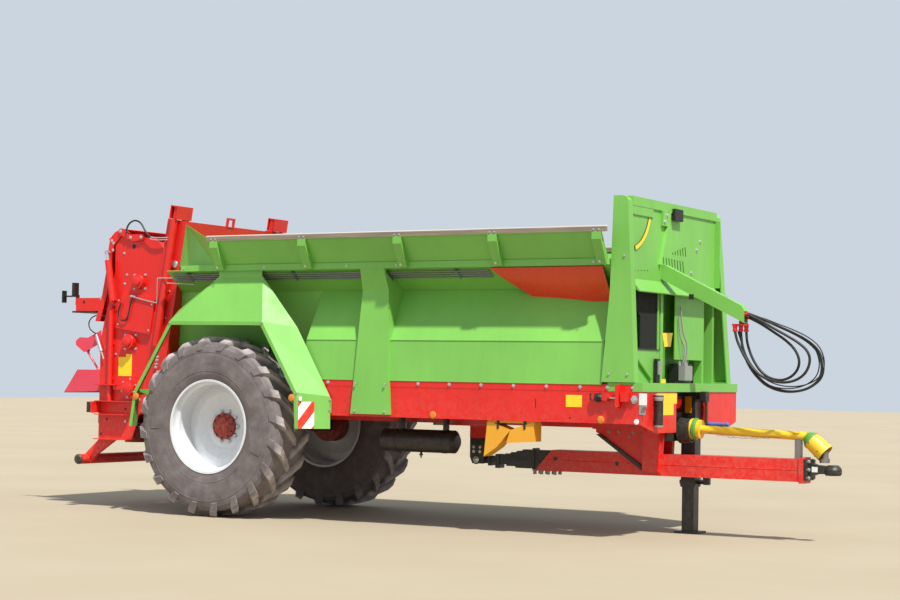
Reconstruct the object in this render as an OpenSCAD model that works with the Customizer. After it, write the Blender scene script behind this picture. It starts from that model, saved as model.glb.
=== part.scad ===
// Towed manure spreader: moving-floor hopper, sliding rear gate, beaters and spreading discs
// X runs forward to the hitch, Y to the left, Z up. Each sub-part is drawn from the axle and then set back.

/* [Wheels] */
// Radius of the tyre over its lugs
wheel_r = 970; // [900:5:1000]
// Height of a tyre lug above the carcass
lug_h = 56; // [30:1:60]
// Width of the tyre at its bulge
tyre_w = 610; // [560:2:630]
// Distance between the middles of the two wheels
wheel_track = 2230; // [2200:5:2300]
// Radius of the rim's flange
rim_r = 508; // [480:1:530]
// Width of the rim over its flanges
rim_w = 576; // [540:2:590]
// Thickness of the rim's barrel
rim_t = 10; // [6:1:14]
// Radius of the hub's nose, which centres the wheel disc
hub_r = 140; // [110:1:150]
// Radius of the circle of wheel studs
stud_circle_r = 167.5; // [160:0.5:180]
// Radius of a wheel stud
stud_r = 11; // [8:0.5:14]
// Radius of the brake drum behind the disc
drum_r = 205; // [195:1:230]
// Side of the square axle beam
axle_w = 150; // [110:1:170]
// Radius of the axle's stub
stub_r = 55; // [40:1:65]
// Height of the pad between the axle and the frame's rails
seat_h = 15; // [8:1:30]

/* [Frame] */
// Height of the frame's underside on its standard wheels
rail_z = 1060; // [1050:1:1070]
// Height of a frame rail
rail_h = 200; // [160:2:220]
// Width of a frame rail
rail_w = 90; // [70:1:110]
// Distance between the middles of the rails
rail_gauge = 860; // [820:2:900]
// Front end of the rails, ahead of the axle
frame_front = 4970; // [4900:5:5000]
// Rear end of the rails, behind the axle
frame_rear = 1400; // [1340:5:1420]
// Half width of the machine over its side skirts
skirt_half = 1200; // [1190:1:1205]
// Bottom of the side skirts
skirt_bottom = 1124; // [1100:2:1128]
// Top of the side skirts, where the hopper's outer skin starts
skirt_top = 1500; // [1495:1:1505]
// Thickness of folded sheet
sheet_t = 8; // [5:0.5:10]

/* [Drawbar] */
// Half width of the drawbar box
drawbar_half = 100; // [90:1:115]
// Underside of the drawbar
drawbar_bottom = 585; // [575:1:595]
// Top of the drawbar
drawbar_top = 805; // [795:1:815]
// Front end of the drawbar, ahead of the axle
drawbar_front = 6175; // [6120:5:6220]
// Distance from the drawbar's end to the middle of the ball cup
cup_ahead = 310; // [300:1:330]
// Radius of the ball that the cup takes
ball_r = 40; // [38:0.5:42]
// Outer radius of the ball cup
cup_r = 85; // [75:1:95]

/* [Hopper] */
// Half width of the hopper's floor
floor_half = 726; // [700:1:730]
// Height of the hopper's floor underside
floor_z = 1470; // [1465:1:1475]
// Half width of the hopper at its waist
waist_half = 860; // [850:1:866]
// Height of the waist
waist_z = 2440; // [2430:1:2450]
// Height where the hopper's sloping wall meets the top rail
slope_top_z = 2660; // [2655:1:2665]
// Thickness of the hopper's wall
wall_t = 6; // [4:0.5:8]
// Half width over the flared edge
flare_half = 1400; // [1380:1:1420]
// Height of the flared edge
flare_z = 2960; // [2950:1:2975]
// Height of the top planks
plank_h = 56; // [40:1:70]
// Thickness of the top planks
plank_t = 40; // [30:1:50]

/* [Rear unit] */
// Forward lean of the rear gate and its towers, in degrees
lean = 9.2; // [8.5:0.1:10]
// Half width between the towers
tower_in = 880; // [875:1:885]
// Outer half width over the towers
tower_out = 980; // [975:1:990]
// Depth of a tower along the machine
tower_depth = 266; // [255:1:275]
// Travel of the gate
gate_travel = 1000; // [800:10:1000]
// Radius of a gate cylinder's barrel
gate_barrel_r = 42; // [38:0.5:46]
// Radius of a gate cylinder's rod
gate_rod_r = 24; // [18:0.5:28]
// Radius of a beater over its teeth
beater_r = 330; // [300:1:335]
// Radius of a beater's drum
beater_drum_r = 105; // [80:1:130]
// Number of tooth plates on a beater
beater_plates = 15; // [9:2:21]
// Radius of a spreading disc over its blades
disc_r = 455; // [420:1:460]
// Distance between the middles of the two discs
disc_pitch = 940; // [932:2:948]
// Number of blades on a disc
disc_blades = 6; // [4:1:8]
// Radius of the underrun bar
underrun_r = 57; // [45:1:62]

/* [Hidden] */
$fn = 64;
fit = 0.3;
run_gap = 6;

hitch_nose = drawbar_front + cup_ahead + cup_r;
lamp_reach = 2500;
// The rear unit is drawn for the standard wheel, and moves back by rear_shift to clear a larger one
gate_foot = [-1083, 1510];
wheel_clear = 113;
rear_shift = -wheel_r - wheel_clear - gate_foot[0];
axle_x = (lamp_reach - rear_shift - hitch_nose) / 2;
lift = wheel_r + axle_w / 2 + seat_h - rail_z;
wheel_y = wheel_track / 2;

rail_top = rail_z + rail_h;
rail_in = rail_gauge / 2 - rail_w / 2;
rail_out = rail_gauge / 2 + rail_w / 2;
member_z = 1360;
floor_t = 8;
floor_top = floor_z + floor_t;
skin_fold = [skirt_half - 40, 1915];
top_rail = [skirt_half - 10, skirt_half + 55];
rail_in_half = top_rail[0] + 5;
board_half = skirt_half - 150;
top_rail_z = [2650, 2715];
board_x = 4800;
board_z = [2450, 3240];
hopper_front = 4640;
hopper_rear = rear_shift - 1200;
plank_z = flare_z + 4;
sill_z = 1435;
sill_top = 1520;
sill_rear = hopper_front + 6;
sill_front = frame_front + 40;

gate_top_z = 3240;
gate_len = (gate_top_z - gate_foot[1]) / cos(lean);
tower_len = gate_len + 6;
gate_half = tower_in - 12;
gate_t = 52;
gate_edge = 60;
gate_cyl_y = tower_out + gate_barrel_r + 3;
rod_guide = 130;
rod_foot = tower_len - gate_travel - rod_guide;
side_out = 956;
side_t = 12;
upper_axis = [-1331, 2560];
lower_axis = [-1447, 1880];
disc_x = -1750;
disc_z = 950;
flap_hinge = [-1610, 3130];
flap_cyl_foot = [-1666, 2345];
flap_rod_eye = [-1768, 2895];
flap_cyl_y = 1020;

// Helpers: placing, mirroring and plates drawn in the side or cross view
function unit(v) = v / norm(v);
function left_of(v) = [-v[1], v[0]];
function seg_normal(p, i) = left_of(unit(p[i + 1] - p[i]));
function mitre(p, i) =
    i == 0 ? seg_normal(p, 0)
    : i == len(p) - 1 ? seg_normal(p, i - 1)
    : (seg_normal(p, i - 1) + seg_normal(p, i)) / (1 + seg_normal(p, i - 1) * seg_normal(p, i));
// Outline of a sheet of thickness t folded along the points p, on their left
function folded(p, t) = concat(p, [for (i = [len(p) - 1:-1:0]) p[i] + t * mitre(p, i)]);
// Height and place on the leaning gate's plane: x of a point at height z, set off by d across the gate
function lean_x(z, d) = gate_foot[0] + (z - gate_foot[1]) * tan(lean) + d / cos(lean);
// Half width of the hopper wall's outer face at height z, below the waist
function wall_y(z) = floor_half + (z - floor_z) / (waist_z - floor_z) * (waist_half - floor_half);
// Half width of the sloping wall's outer face at height z, above the waist
function slope_y(z) = waist_half + (z - waist_z) / (slope_top_z - waist_z) * (rail_in_half - waist_half);
// Half width of the flare's outer face at height z
function flare_y(z) = top_rail[1] - 10
    + (z - top_rail_z[1]) / (flare_z - top_rail_z[1]) * (flare_half - top_rail[1] + 10);

module at_axle() translate([axle_x, 0, 0]) children();
module at_frame() translate([axle_x, 0, lift]) children();
module at_rear() translate([axle_x + rear_shift, 0, lift]) children();
module both_sides() {
    children();
    mirror([0, 1, 0]) children();
}
module block(x, y, z) translate([x[0], y[0], z[0]]) cube([x[1] - x[0], y[1] - y[0], z[1] - z[0]]);
module side_plate(points, y) translate([0, y[1], 0]) rotate([90, 0, 0]) linear_extrude(y[1] - y[0]) polygon(points);
module cross_plate(points, x) translate([x[0], 0, 0]) rotate([90, 0, 90]) linear_extrude(x[1] - x[0]) polygon(points);
module along_x(r, x, y, z) translate([x[0], y, z]) rotate([0, 90, 0]) cylinder(r = r, h = x[1] - x[0]);
module along_y(r, x, y, z) translate([x, y[0], z]) rotate([-90, 0, 0]) cylinder(r = r, h = y[1] - y[0]);
module along_z(r, x, y, z) translate([x, y, z[0]]) cylinder(r = r, h = z[1] - z[0]);
// Rod between two points of the side view, at one y
module strut(r, a, b, y) translate([a[0], y, a[1]])
    rotate([0, atan2(b[0] - a[0], b[1] - a[1]), 0]) cylinder(r = r, h = norm(b - a));
module leaning() at_rear() translate([gate_foot[0], 0, gate_foot[1]]) rotate([0, lean, 0]) children();

// Wheels: a turned carcass with two rows of slanting lugs, half a pitch apart
tyre_bead_half = rim_w / 2 - rim_t - 3;
carcass_r = wheel_r - lug_h;
lug_pitch = 18;
wall_mid = (carcass_r - 40 + rim_r) / 2;
wall_reach = (carcass_r - 40 - rim_r) / 2;
function sidewall(steps) = [for (i = [0:steps]) let (a = 180 * i / steps)
    [wall_mid - wall_reach * cos(a), tyre_bead_half + (tyre_w / 2 - tyre_bead_half) * sin(a)]];
function flipped(p) = [for (i = [len(p) - 1:-1:0]) [p[i][0], -p[i][1]]];
module carcass() {
    half = concat([[rim_r - 16 + fit, tyre_bead_half]], sidewall(8),
        [[carcass_r - 14, tyre_bead_half - 16], [carcass_r - 4, tyre_bead_half - 50], [carcass_r, 90]]);
    rotate_extrude($fn = 96) polygon(concat(half, flipped(half)));
}
// Each row: distance from the middle, top and foot radius, turn in degrees, half width at top and foot
lug_path = [
    [-14, wheel_r - 6, carcass_r - 12, 0, 28, 40],
    [110, wheel_r, carcass_r - 14, 7, 36, 50],
    [tyre_bead_half - 42, wheel_r - 3, carcass_r - 20, 13, 44, 58],
    [tyre_bead_half + 16, carcass_r + 2, carcass_r - 60, 15.5, 47, 58],
    [tyre_bead_half + 30, carcass_r - 88, carcass_r - 112, 17.5, 32, 42]];
function lug_point(r, turn, side, z) = let (a = turn + side / r * 180 / PI) [r * cos(a), r * sin(a), z];
function lug_ring(q) = let (z = [q[0], q[0] - (q[0] > tyre_bead_half ? 26 : 0)])
    [lug_point(q[2], q[3], -q[5], z[1]), lug_point(q[1], q[3], -q[4], z[0]),
     lug_point(q[1], q[3], q[4], z[0]), lug_point(q[2], q[3], q[5], z[1])];
module lug() {
    n = len(lug_path);
    walls = [for (i = [0:n - 2]) for (k = [0:3]) let (a = 4 * i + k, b = 4 * i + (k + 1) % 4)
        each [[a, b + 4, b], [a, a + 4, b + 4]]];
    polyhedron(points = [for (q = lug_path) each lug_ring(q)],
        faces = concat(walls, [[0, 1, 2], [0, 2, 3], [4 * n - 2, 4 * n - 3, 4 * n - 4],
            [4 * n - 1, 4 * n - 2, 4 * n - 4]]));
}
// The row's turn puts the top of one lug straight down, where the wheel stands
stand_turn = -90 - lug_path[1][3] - lug_path[1][4] / wheel_r * 180 / PI;
module tyre_shape() {
    carcass();
    for (i = [0:360 / lug_pitch - 1]) {
        rotate(stand_turn + lug_pitch * i) lug();
        rotate(stand_turn + lug_pitch * (i + 0.5)) mirror([0, 0, 1]) lug();
    }
}
module rim_shape() {
    h = rim_w / 2;
    barrel = [[rim_r, h - rim_t], [rim_r - 16, h - rim_t - 2], [rim_r - 22, h - 62], [rim_r - 48, h - 95],
        [rim_r - 48, 95 - h], [rim_r - 22, 62 - h], [rim_r - 16, rim_t + 2 - h], [rim_r, rim_t - h]];
    disc = [[hub_r + fit, -54], [stud_circle_r + 70, -54], [stud_circle_r + 190, -16], [rim_r - 50, -16]];
    difference() {
        union() {
            rotate_extrude($fn = 96) polygon(folded(barrel, -rim_t));
            rotate_extrude($fn = 96) polygon(folded(disc, 14));
        }
        for (i = [0:9]) rotate(36 * i) translate([stud_circle_r, 0, -60]) cylinder(r = stud_r + fit, h = 40);
    }
}
module hub_shape() difference() {
    union() {
        translate([0, 0, -210]) cylinder(r = drum_r, h = 156);
        translate([0, 0, -54]) cylinder(r = hub_r, h = 60);
        translate([0, 0, 6]) cylinder(r1 = hub_r - 30, r2 = hub_r - 46, h = 24);
        for (i = [0:9]) rotate(36 * i) translate([stud_circle_r, 0, -54]) cylinder(r = stud_r, h = 36);
    }
    translate([0, 0, -211]) cylinder(r = stub_r + fit, h = 221);
}
// The wheel's outer face looks away from the machine
module right_wheel() at_axle() translate([0, -wheel_y, wheel_r]) rotate([90, 0, 0]) children();
module left_wheel() at_axle() translate([0, wheel_y, wheel_r]) rotate([-90, 0, 0]) children();
module tyre_right() color("#4a4038") right_wheel() tyre_shape();
module tyre_left() mirror([0, 1, 0]) tyre_right();
module rim_right() color("#c9ccd0") right_wheel() rim_shape();
module rim_left() color("#c9ccd0") left_wheel() rim_shape();
module hub_right() color("#d8302a") right_wheel() hub_shape();
module hub_left() color("#d8302a") left_wheel() hub_shape();

module axle() color("#3a3634") at_axle() {
    beam_end = wheel_y - 210 - 8;
    translate([-axle_w / 2, -beam_end, wheel_r - axle_w / 2]) cube([axle_w, 2 * beam_end, axle_w]);
    both_sides() {
        along_y(stub_r, 0, [beam_end - 1, wheel_y], wheel_r);
        block([-150, 150], [rail_in - 20, rail_out + 20],
            [wheel_r + axle_w / 2, wheel_r + axle_w / 2 + seat_h]);
    }
}

// Frame
long_members = [1500, 2250, 3000, 3750, 4280];
short_members = [-1000, -500, 0, 500, 1000];
outriggers = [1400, 1960, 2500, 3300, 4100, 4700];
tie_x = [rear_shift - 1350, -600, 0, 900, 2600, 3700, 4675];
drive_shaft_r = 34;
shaft_z = 1150;
tie_bottom = shaft_z + drive_shaft_r + run_gap;
module channel_member(x, half) block([x - 35, x + 35], [-half, half], [member_z, floor_z]);
module chassis_frame() color("#c8281f") at_frame() {
    arm_z = [rail_z + 70, rail_z + 170];
    foot = [712, 790];
    rear = rear_shift - frame_rear;
    both_sides() block([rear, frame_front], [rail_in, rail_out], [rail_z, rail_top]);
    for (x = tie_x) block([x - 30, x + 30], [fit - rail_in, rail_in - fit], [tie_bottom, rail_top]);
    both_sides() block([rear, rear + 90], [rail_out + fit, side_out - side_t], [rail_z, rail_top]);
    both_sides() for (x = outriggers)
        block([x - 35, x + 35], [rail_out + fit, skirt_half - sheet_t], [skirt_bottom + sheet_t, rail_top]);
    for (x = short_members) {
        channel_member(x, foot[1]);
        both_sides() block([x - 35, x + 35], foot, [arm_z[0], member_z - fit]);
        both_sides() block([x - 35, x + 35], [rail_out + fit, foot[0] - fit], arm_z);
    }
    for (x = long_members) channel_member(x, skirt_half - sheet_t);
}
skirt_rear = 1250;
module skirt_plates() color("#e23a30") at_frame() both_sides() {
    side_plate([[skirt_rear, skirt_bottom], [frame_front, skirt_bottom], [frame_front, sill_z],
        [sill_rear, sill_z], [sill_rear, skirt_top], [skirt_rear, skirt_top]], [skirt_half - sheet_t, skirt_half]);
    block([skirt_rear, sill_rear], [skirt_half - 60, skirt_half], [skirt_top - sheet_t, skirt_top]);
    block([skirt_rear, frame_front], [skirt_half - 60, skirt_half], [skirt_bottom, skirt_bottom + sheet_t]);
    cross_plate([[rail_in - 10, sill_z], [skirt_half, sill_z], [skirt_half, 1120], [860, 1035], [rail_in - 10, 1035]],
        [frame_front, frame_front + 30]);
}
module chain_tensioners() color("#6e6a66") at_frame() both_sides() {
    block([4600, 4660], [skirt_half, skirt_half + 50], [1345, 1415]);
    along_x(12, [4480, 4850], skirt_half + 28, 1380);
    along_x(26, [4660, 4685], skirt_half + 28, 1380);
    block([4490, 4520], [skirt_half, skirt_half + 45], [1350, 1410]);
}

module side_skirts() {
    skirt_plates();
    chain_tensioners();
}

// Drawbar, spring and hitch
spring_eye = [2568, 672];
module drawbar() color("#e23a30") at_frame() {
    difference() {
        side_plate([[3290, drawbar_bottom], [drawbar_front, drawbar_bottom], [drawbar_front, drawbar_top],
            [3480, drawbar_top]], [-drawbar_half, drawbar_half]);
        block([3200, 3640], [15 - drawbar_half, drawbar_half - 15], [drawbar_bottom + 15, drawbar_top - 15]);
    }
    block([drawbar_front, drawbar_front + 45], [-drawbar_half - 12, drawbar_half + 12], [drawbar_bottom - 15, drawbar_top + 17]);
}
module drawbar_brackets() color("#d8302a") at_frame() {
    both_sides() {
        side_plate([[4560, 600], [4730, 600], [4760, rail_z - 20], [4000, rail_z - 20], [4000, rail_z - 50],
            [4540, 650]], [drawbar_half, drawbar_half + 22]);
        side_plate([[4560, 620], [4720, 620], [4740, rail_z - 20], [4560, rail_z - 20]],
            [drawbar_half + 21, drawbar_half + 105]);
        block([2490, 2690], [54, 78], [900, rail_z - 20]);
    }
    block([4000, 4700], [-drawbar_half - 105, drawbar_half + 105], [rail_z - 20, rail_z]);
    block([4560, 4700], [-rail_out, rail_out], [rail_z - 20, rail_z]);
    block([2450, 2750], [-rail_out, rail_out], [rail_z - 20, rail_z]);
}
module spring_leaves() color("#2c2826") at_frame() {
    leaf_t = 16;
    leaf_floor = drawbar_bottom + 15;
    for (i = [0:3]) block([2700 + 110 * (3 - i), 3560 - 30 * i], [-50, 50], [leaf_floor + leaf_t * i, leaf_floor + leaf_t * (i + 1)]);
    difference() {
        union() {
            block([spring_eye[0], 3440], [-50, 50], [leaf_floor + leaf_t * 4, leaf_floor + leaf_t * 5]);
            along_y(34, spring_eye[0], [-50, 50], spring_eye[1]);
        }
        along_y(15 + fit, spring_eye[0], [-51, 51], spring_eye[1]);
    }
}
module spring_hanger() color("#2c2826") at_frame() {
    both_sides() difference() {
        side_plate([[2520, 630], [2640, 630], [2690, 760], [2690, 900], [2490, 900], [2490, 700]], [54, 74]);
        along_y(12, 2600, [50, 80], 830);
    }
    along_y(15, spring_eye[0], [-54.1, 54.1], spring_eye[1]);
}
module drawbar_spring() {
    spring_leaves();
    spring_hanger();
}
module hitch_coupling() color("#262424") at_frame() {
    x0 = drawbar_front + 45;
    cup_x = drawbar_front + cup_ahead;
    cup_z = 702;
    difference() {
        union() {
            block([x0, x0 + 40], [-95, 95], [600, 805]);
            side_plate([[x0 + 39, 628], [x0 + 39, 778], [x0 + 110, 752], [cup_x - 20, 742], [cup_x - 20, 672],
                [x0 + 110, 664]], [-45, 45]);
            translate([cup_x, 0, 0]) rotate_extrude() polygon([[0, 655], [cup_r - 12, 655], [cup_r, 675],
                [cup_r, 712], [cup_r - 12, 735], [cup_r - 35, 755], [0, 755]]);
        }
        translate([cup_x, 0, cup_z]) sphere(r = ball_r + fit);
        along_z(ball_r + fit, cup_x, 0, [650, cup_z]);
    }
}

// Parking jack
jack_y = 270;
jack_x = [4810, 4960];
jack_w = 150;
jack_wall = 10;
module jack_tube() color("#2a2624") at_frame() {
    inner = jack_w - 2 * jack_wall;
    difference() {
        union() {
            block(jack_x, [jack_y - jack_w / 2, jack_y + jack_w / 2], [520, 1450]);
            block([jack_x[0] - 10, jack_x[1] + 10], [jack_y - jack_w / 2 - 10, jack_y + jack_w / 2 + 10], [500, 540]);
            block([jack_x[1] - 1, jack_x[1] + 110], [jack_y - 20, jack_y + 20], [500, 540]);
        }
        block([jack_x[0] + jack_wall, jack_x[1] - jack_wall], [jack_y - inner / 2, jack_y + inner / 2], [499, 1440]);
    }
    block([jack_x[0] + 20, jack_x[1] - 20], [jack_y + jack_w / 2, rail_in], [rail_z + 20, rail_top - 20]);
}
module jack_leg() color("#2a2624") at_frame() {
    w = jack_w / 2 - jack_wall - 0.5;
    cx = (jack_x[0] + jack_x[1]) / 2;
    block([cx - w, cx + w], [jack_y - w, jack_y + w], [20 - lift, 1020]);
    block([cx - 130, cx + 130], [jack_y - 110, jack_y + 110], [-lift, 21 - lift]);
}
module jack_crank() color("#3b5fb0") at_frame() {
    along_x(16, [jack_x[1], 5062], jack_y, 1375);
    block([5038, 5062], [jack_y - 16, jack_y + 16], [1094, 1391]);
    along_x(17, [5062, 5295], jack_y, 1110);
}

// Drive line
pto_z = 1045;
gear_x = [4705, 4860];
gear_half = 95;
module gearbox_case() color("#8d8b88") at_frame() {
    block(gear_x, [-gear_half, gear_half], [940, 1230]);
    along_x(70, [gear_x[1], gear_x[1] + 30], 0, pto_z);
}
module shaft_guard() color("#2b2725") at_frame() difference() {
    translate([gear_x[1] + 30, 0, pto_z]) rotate([0, 90, 0]) cylinder(r1 = 128, r2 = 116, h = 125);
    translate([gear_x[1] + 50, 0, pto_z]) rotate([0, 90, 0]) cylinder(r = 104, h = 160);
}
module front_gearbox() {
    gearbox_case();
    shaft_guard();
}
pto_start = [5024, 1066];
pto_end = [6222, 1026];
pto_drop = 41;
bell = [[0, 50], [45, 86], [245, 94]];
module at_bell() translate([pto_end[0], 0, pto_end[1]]) rotate([0, 90 + pto_drop, 0]) children();
module pto_shaft() color("#e8c040") at_frame() {
    difference() {
        union() {
            strut(42.5, pto_start, pto_end, 0);
            at_bell() rotate_extrude() polygon([[0, bell[0][0]], for (q = bell) [q[1], q[0]], [0, bell[2][0]]]);
        }
        at_bell() translate([0, 0, bell[1][0]]) cylinder(r1 = bell[1][1] - 6, r2 = bell[2][1] - 6, h = 201);
    }
    strut(95, pto_start, pto_start + 90 * unit(pto_end - pto_start), 0);
    strut(36, [gear_x[1] + 58, pto_z], pto_start + 5 * unit(pto_end - pto_start), 0);
}
yoke_x = 6400;
module yoke_end() color("#9a9a94") at_frame() {
    at_bell() translate([0, 0, bell[1][0]]) cylinder(r = 30, h = 185);
    difference() {
        union() {
            along_z(50, yoke_x, 0, [775, 815]);
            along_z(38, yoke_x, 0, [815, 885]);
        }
        along_z(17.5, yoke_x, 0, [774, 840]);
    }
}
module pto_holder() color("#8f8f8c") at_frame() difference() {
    block([6105, 6165], [-32, 32], [drawbar_top, 1022]);
    strut(42.5 + fit, pto_start, pto_end, 0);
}
module pto_yoke() {
    yoke_end();
    pto_holder();
}
module floor_drive_shaft() color("#6b6663") at_frame() {
    along_x(drive_shaft_r, [rear_shift + fit - 1380, gear_x[0] - fit], 0, shaft_z);
}
module gearbox_body() color("#b8281f") at_rear() {
    block([-1580, -1380], [-160, 160], [1060, 1290]);
    along_z(60, -1435, 0, [880, 1060]);
}

module rear_gearbox() {
    gearbox_body();
    floor_drive_shaft();
}

// Moving floor: chain loops round two shafts, and slats
chain_front = 4470;
chain_rear = rear_shift - 1130;
chain_r = 100;
chain_t = 22;
chain_z = floor_top + chain_t - chain_r;
chain_y = [-560, -190, 190, 560];
slat_start = rear_shift - 900;
slat_pitch = 350;
link_pitch = 87.5;
module loop_area(r) {
    translate([chain_rear, chain_z]) circle(r = r);
    translate([chain_front, chain_z]) circle(r = r);
    translate([chain_rear, chain_z - r]) square([chain_front - chain_rear, 2 * r]);
}
module chain_loops() color("#5d5750") at_frame() {
    for (y = chain_y) {
        translate([0, y + 10, 0]) rotate([90, 0, 0]) linear_extrude(20) difference() {
            loop_area(chain_r);
            loop_area(chain_r - chain_t);
        }
        for (x = [slat_start - link_pitch:link_pitch:4280]) if (abs((x - slat_start) % slat_pitch) > 1)
            block([x - 26, x + 26], [y - 20, y + 20], [floor_top + 6, floor_top + chain_t - 4]);
    }
    for (x = [slat_start:slat_pitch:4200]) {
        block([x - 20, x + 20], [-700, 700], [floor_top + chain_t + fit, floor_top + chain_t + 34]);
        block([x - 20, x + 20], [-700, 700], [chain_z - chain_r - 34, chain_z - chain_r - fit]);
    }
}
module floor_shafts() color("#6b6663") at_frame() {
    for (end = [[chain_rear, tower_out - tower_wall - fit], [chain_front, skirt_half - sheet_t]]) {
        along_y(35, end[0], [-end[1], end[1]], chain_z);
        for (y = chain_y) along_y(chain_r - chain_t - fit, end[0], [y - 10, y + 10], chain_z);
    }
}

module floor_chain() {
    chain_loops();
    floor_shafts();
}

// Hopper
module hopper_floor() color("#5f9c42") at_frame()
    block([rear_shift - 1020, 4390], [-floor_half + wall_t + 2, floor_half - wall_t - 2], [floor_z, floor_top]);
module gate_clearance() {
    translate([gate_foot[0] + rear_shift, 0, gate_foot[1]]) rotate([0, lean, 0]) {
        translate([-800, 0, -500]) cube([800 + gate_t / 2 + 8, 3000, 3000]);
        translate([-800, gate_half - run_gap, -500]) cube([800 + tower_depth / 2 + 1, 3000, 3000]);
    }
}
module hopper_side_shape() {
    difference() {
        cross_plate(folded([[floor_half, floor_z], [waist_half, waist_z], [rail_in_half, slope_top_z]], wall_t),
            [hopper_rear, hopper_front]);
        gate_clearance();
    }
    block([-520, 4600], top_rail, top_rail_z);
    cross_plate(folded([[top_rail[1] - 10, top_rail_z[1]], [flare_half, flare_z]], 5), [-60, 4650]);
}
module hopper_side_right() color("#86c864") at_frame() mirror([0, 1, 0]) hopper_side_shape();
module hopper_side_left() color("#86c864") at_frame() hopper_side_shape();
rib_x = [35, 1180, 2356, 3460, 4600];
module rib_channels() color("#6fb24c") at_frame() both_sides() for (x = rib_x)
    cross_plate([[top_rail[1], top_rail_z[0] + 5], [top_rail[1], top_rail_z[1]], [flare_y(top_rail_z[1]), top_rail_z[1]],
        [flare_half, flare_z], [flare_half, plank_z], [flare_half + 14, plank_z],
        [flare_y(flare_z - 70) + 58, flare_z - 70], [flare_y(top_rail_z[0]) + 80, top_rail_z[0] + 5]],
        [x - 50, x + 50]);
module top_planks() color("#9a9078") at_frame() both_sides()
    block([-60, 4700], [flare_half - 26, flare_half - 26 + plank_t], [plank_z, plank_z + plank_h]);
module corner_panel(p, t) {
    n = cross(p[1] - p[0], p[2] - p[0]) / norm(cross(p[1] - p[0], p[2] - p[0]));
    polyhedron(points = concat(p, [for (q = p) q + t * n]),
        faces = [[0, 1, 2], [0, 2, 3], [4, 6, 5], [4, 7, 6], [0, 5, 1], [0, 4, 5], [1, 6, 2], [1, 5, 6],
            [2, 7, 3], [2, 6, 7], [3, 4, 0], [3, 7, 4]]);
}
module rear_corners() color("#74ac4c") at_frame() both_sides() {
    tx = tower_depth / 2 + 1;
    low = top_rail_z[1] + 1;
    high = gate_top_z - 50;
    corner_panel([[rear_shift + lean_x(high, tx), tower_out, high], [rear_shift + lean_x(low, tx), tower_out, low],
        [-62, top_rail[1] - 10, low], [-62, flare_half, flare_z + 40]], 5);
}
module flare_ribs() {
    rib_channels();
    rear_corners();
}
skin_end = 4578;
module side_skins() color("#7cc258") at_frame() both_sides()
    cross_plate(folded([[skirt_half, skirt_top + 0.5], skin_fold, [waist_half + 5, waist_z - 3]], 5), [1100, skin_end]);
pipe_slots = [150, 115, 80, 45];
post_lean = 1.9;
post_w = 100;
slope_dir = unit([rail_in_half - waist_half, slope_top_z - waist_z]);
function pipe_at(s, off) = [rail_in_half, slope_top_z] - s * slope_dir + off * [slope_dir[1], -slope_dir[0]];
module hopper_posts() color("#86c864") at_frame() {
    both_sides() difference() {
        intersection() {
            cross_plate([[skirt_half + 50, 1150], [skirt_half - 30, 2430], [skirt_half + 50, top_rail_z[0]],
                [slope_y(top_rail_z[0]) + 0.5, top_rail_z[0]],
                [waist_half + 0.5, waist_z], [waist_half + 5, waist_z - 3], skin_fold, [skirt_half, skirt_top + 0.5],
                [skirt_half, 1150]], [1725, 2195]);
            side_plate([[1725, 1150], [2195, 1150], [2105, 2660], [1815, 2660]], [waist_half - 60, skirt_half + 100]);
        }
        cross_plate([pipe_at(176, -1), pipe_at(16, -1), pipe_at(16, 45), pipe_at(176, 45)], [1700, 2220]);
    }
    both_sides() translate([0, skirt_half + 20, sill_top + post_w * sin(post_lean) + 0.01]) rotate([post_lean, 0, 0])
        difference() {
            side_plate([[4580, 0], [4930, 0], [4815, 1760], [4790, 1795], [4750, 1806], [4660, 1806], [4646, 880]],
                [-post_w, 0]);
            side_plate([[4592, 12], [4916, 12], [4802, 1754], [4782, 1784], [4748, 1794], [4672, 1794], [4658, 880]],
                [-post_w - 1, -sheet_t]);
        }
}
module front_wall() color("#74ac4c") at_frame() {
    half = [[floor_half - wall_t - 2, floor_top], [waist_half - wall_t - 2, waist_z + 4],
        [rail_in_half - 8, slope_top_z + 4], [top_rail[0] - 4, top_rail_z[1] + 1],
        [board_half - 10, top_rail_z[1] + 1], [board_half - 10, board_z[1]]];
    cross_plate(concat(half, [for (i = [len(half) - 1:-1:0]) [-half[i][0], half[i][1]]]),
        [hopper_front - 10, hopper_front]);
}
module front_sill() color("#8ed06a") at_frame() difference() {
    block([sill_rear, sill_front], [-skirt_half - 4, skirt_half + 4], [sill_z, sill_top]);
    block([sill_rear - 1, sill_front - 20], [-skirt_half + 4, skirt_half - 4], [sill_z - 1, sill_top - sheet_t]);
}
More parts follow.
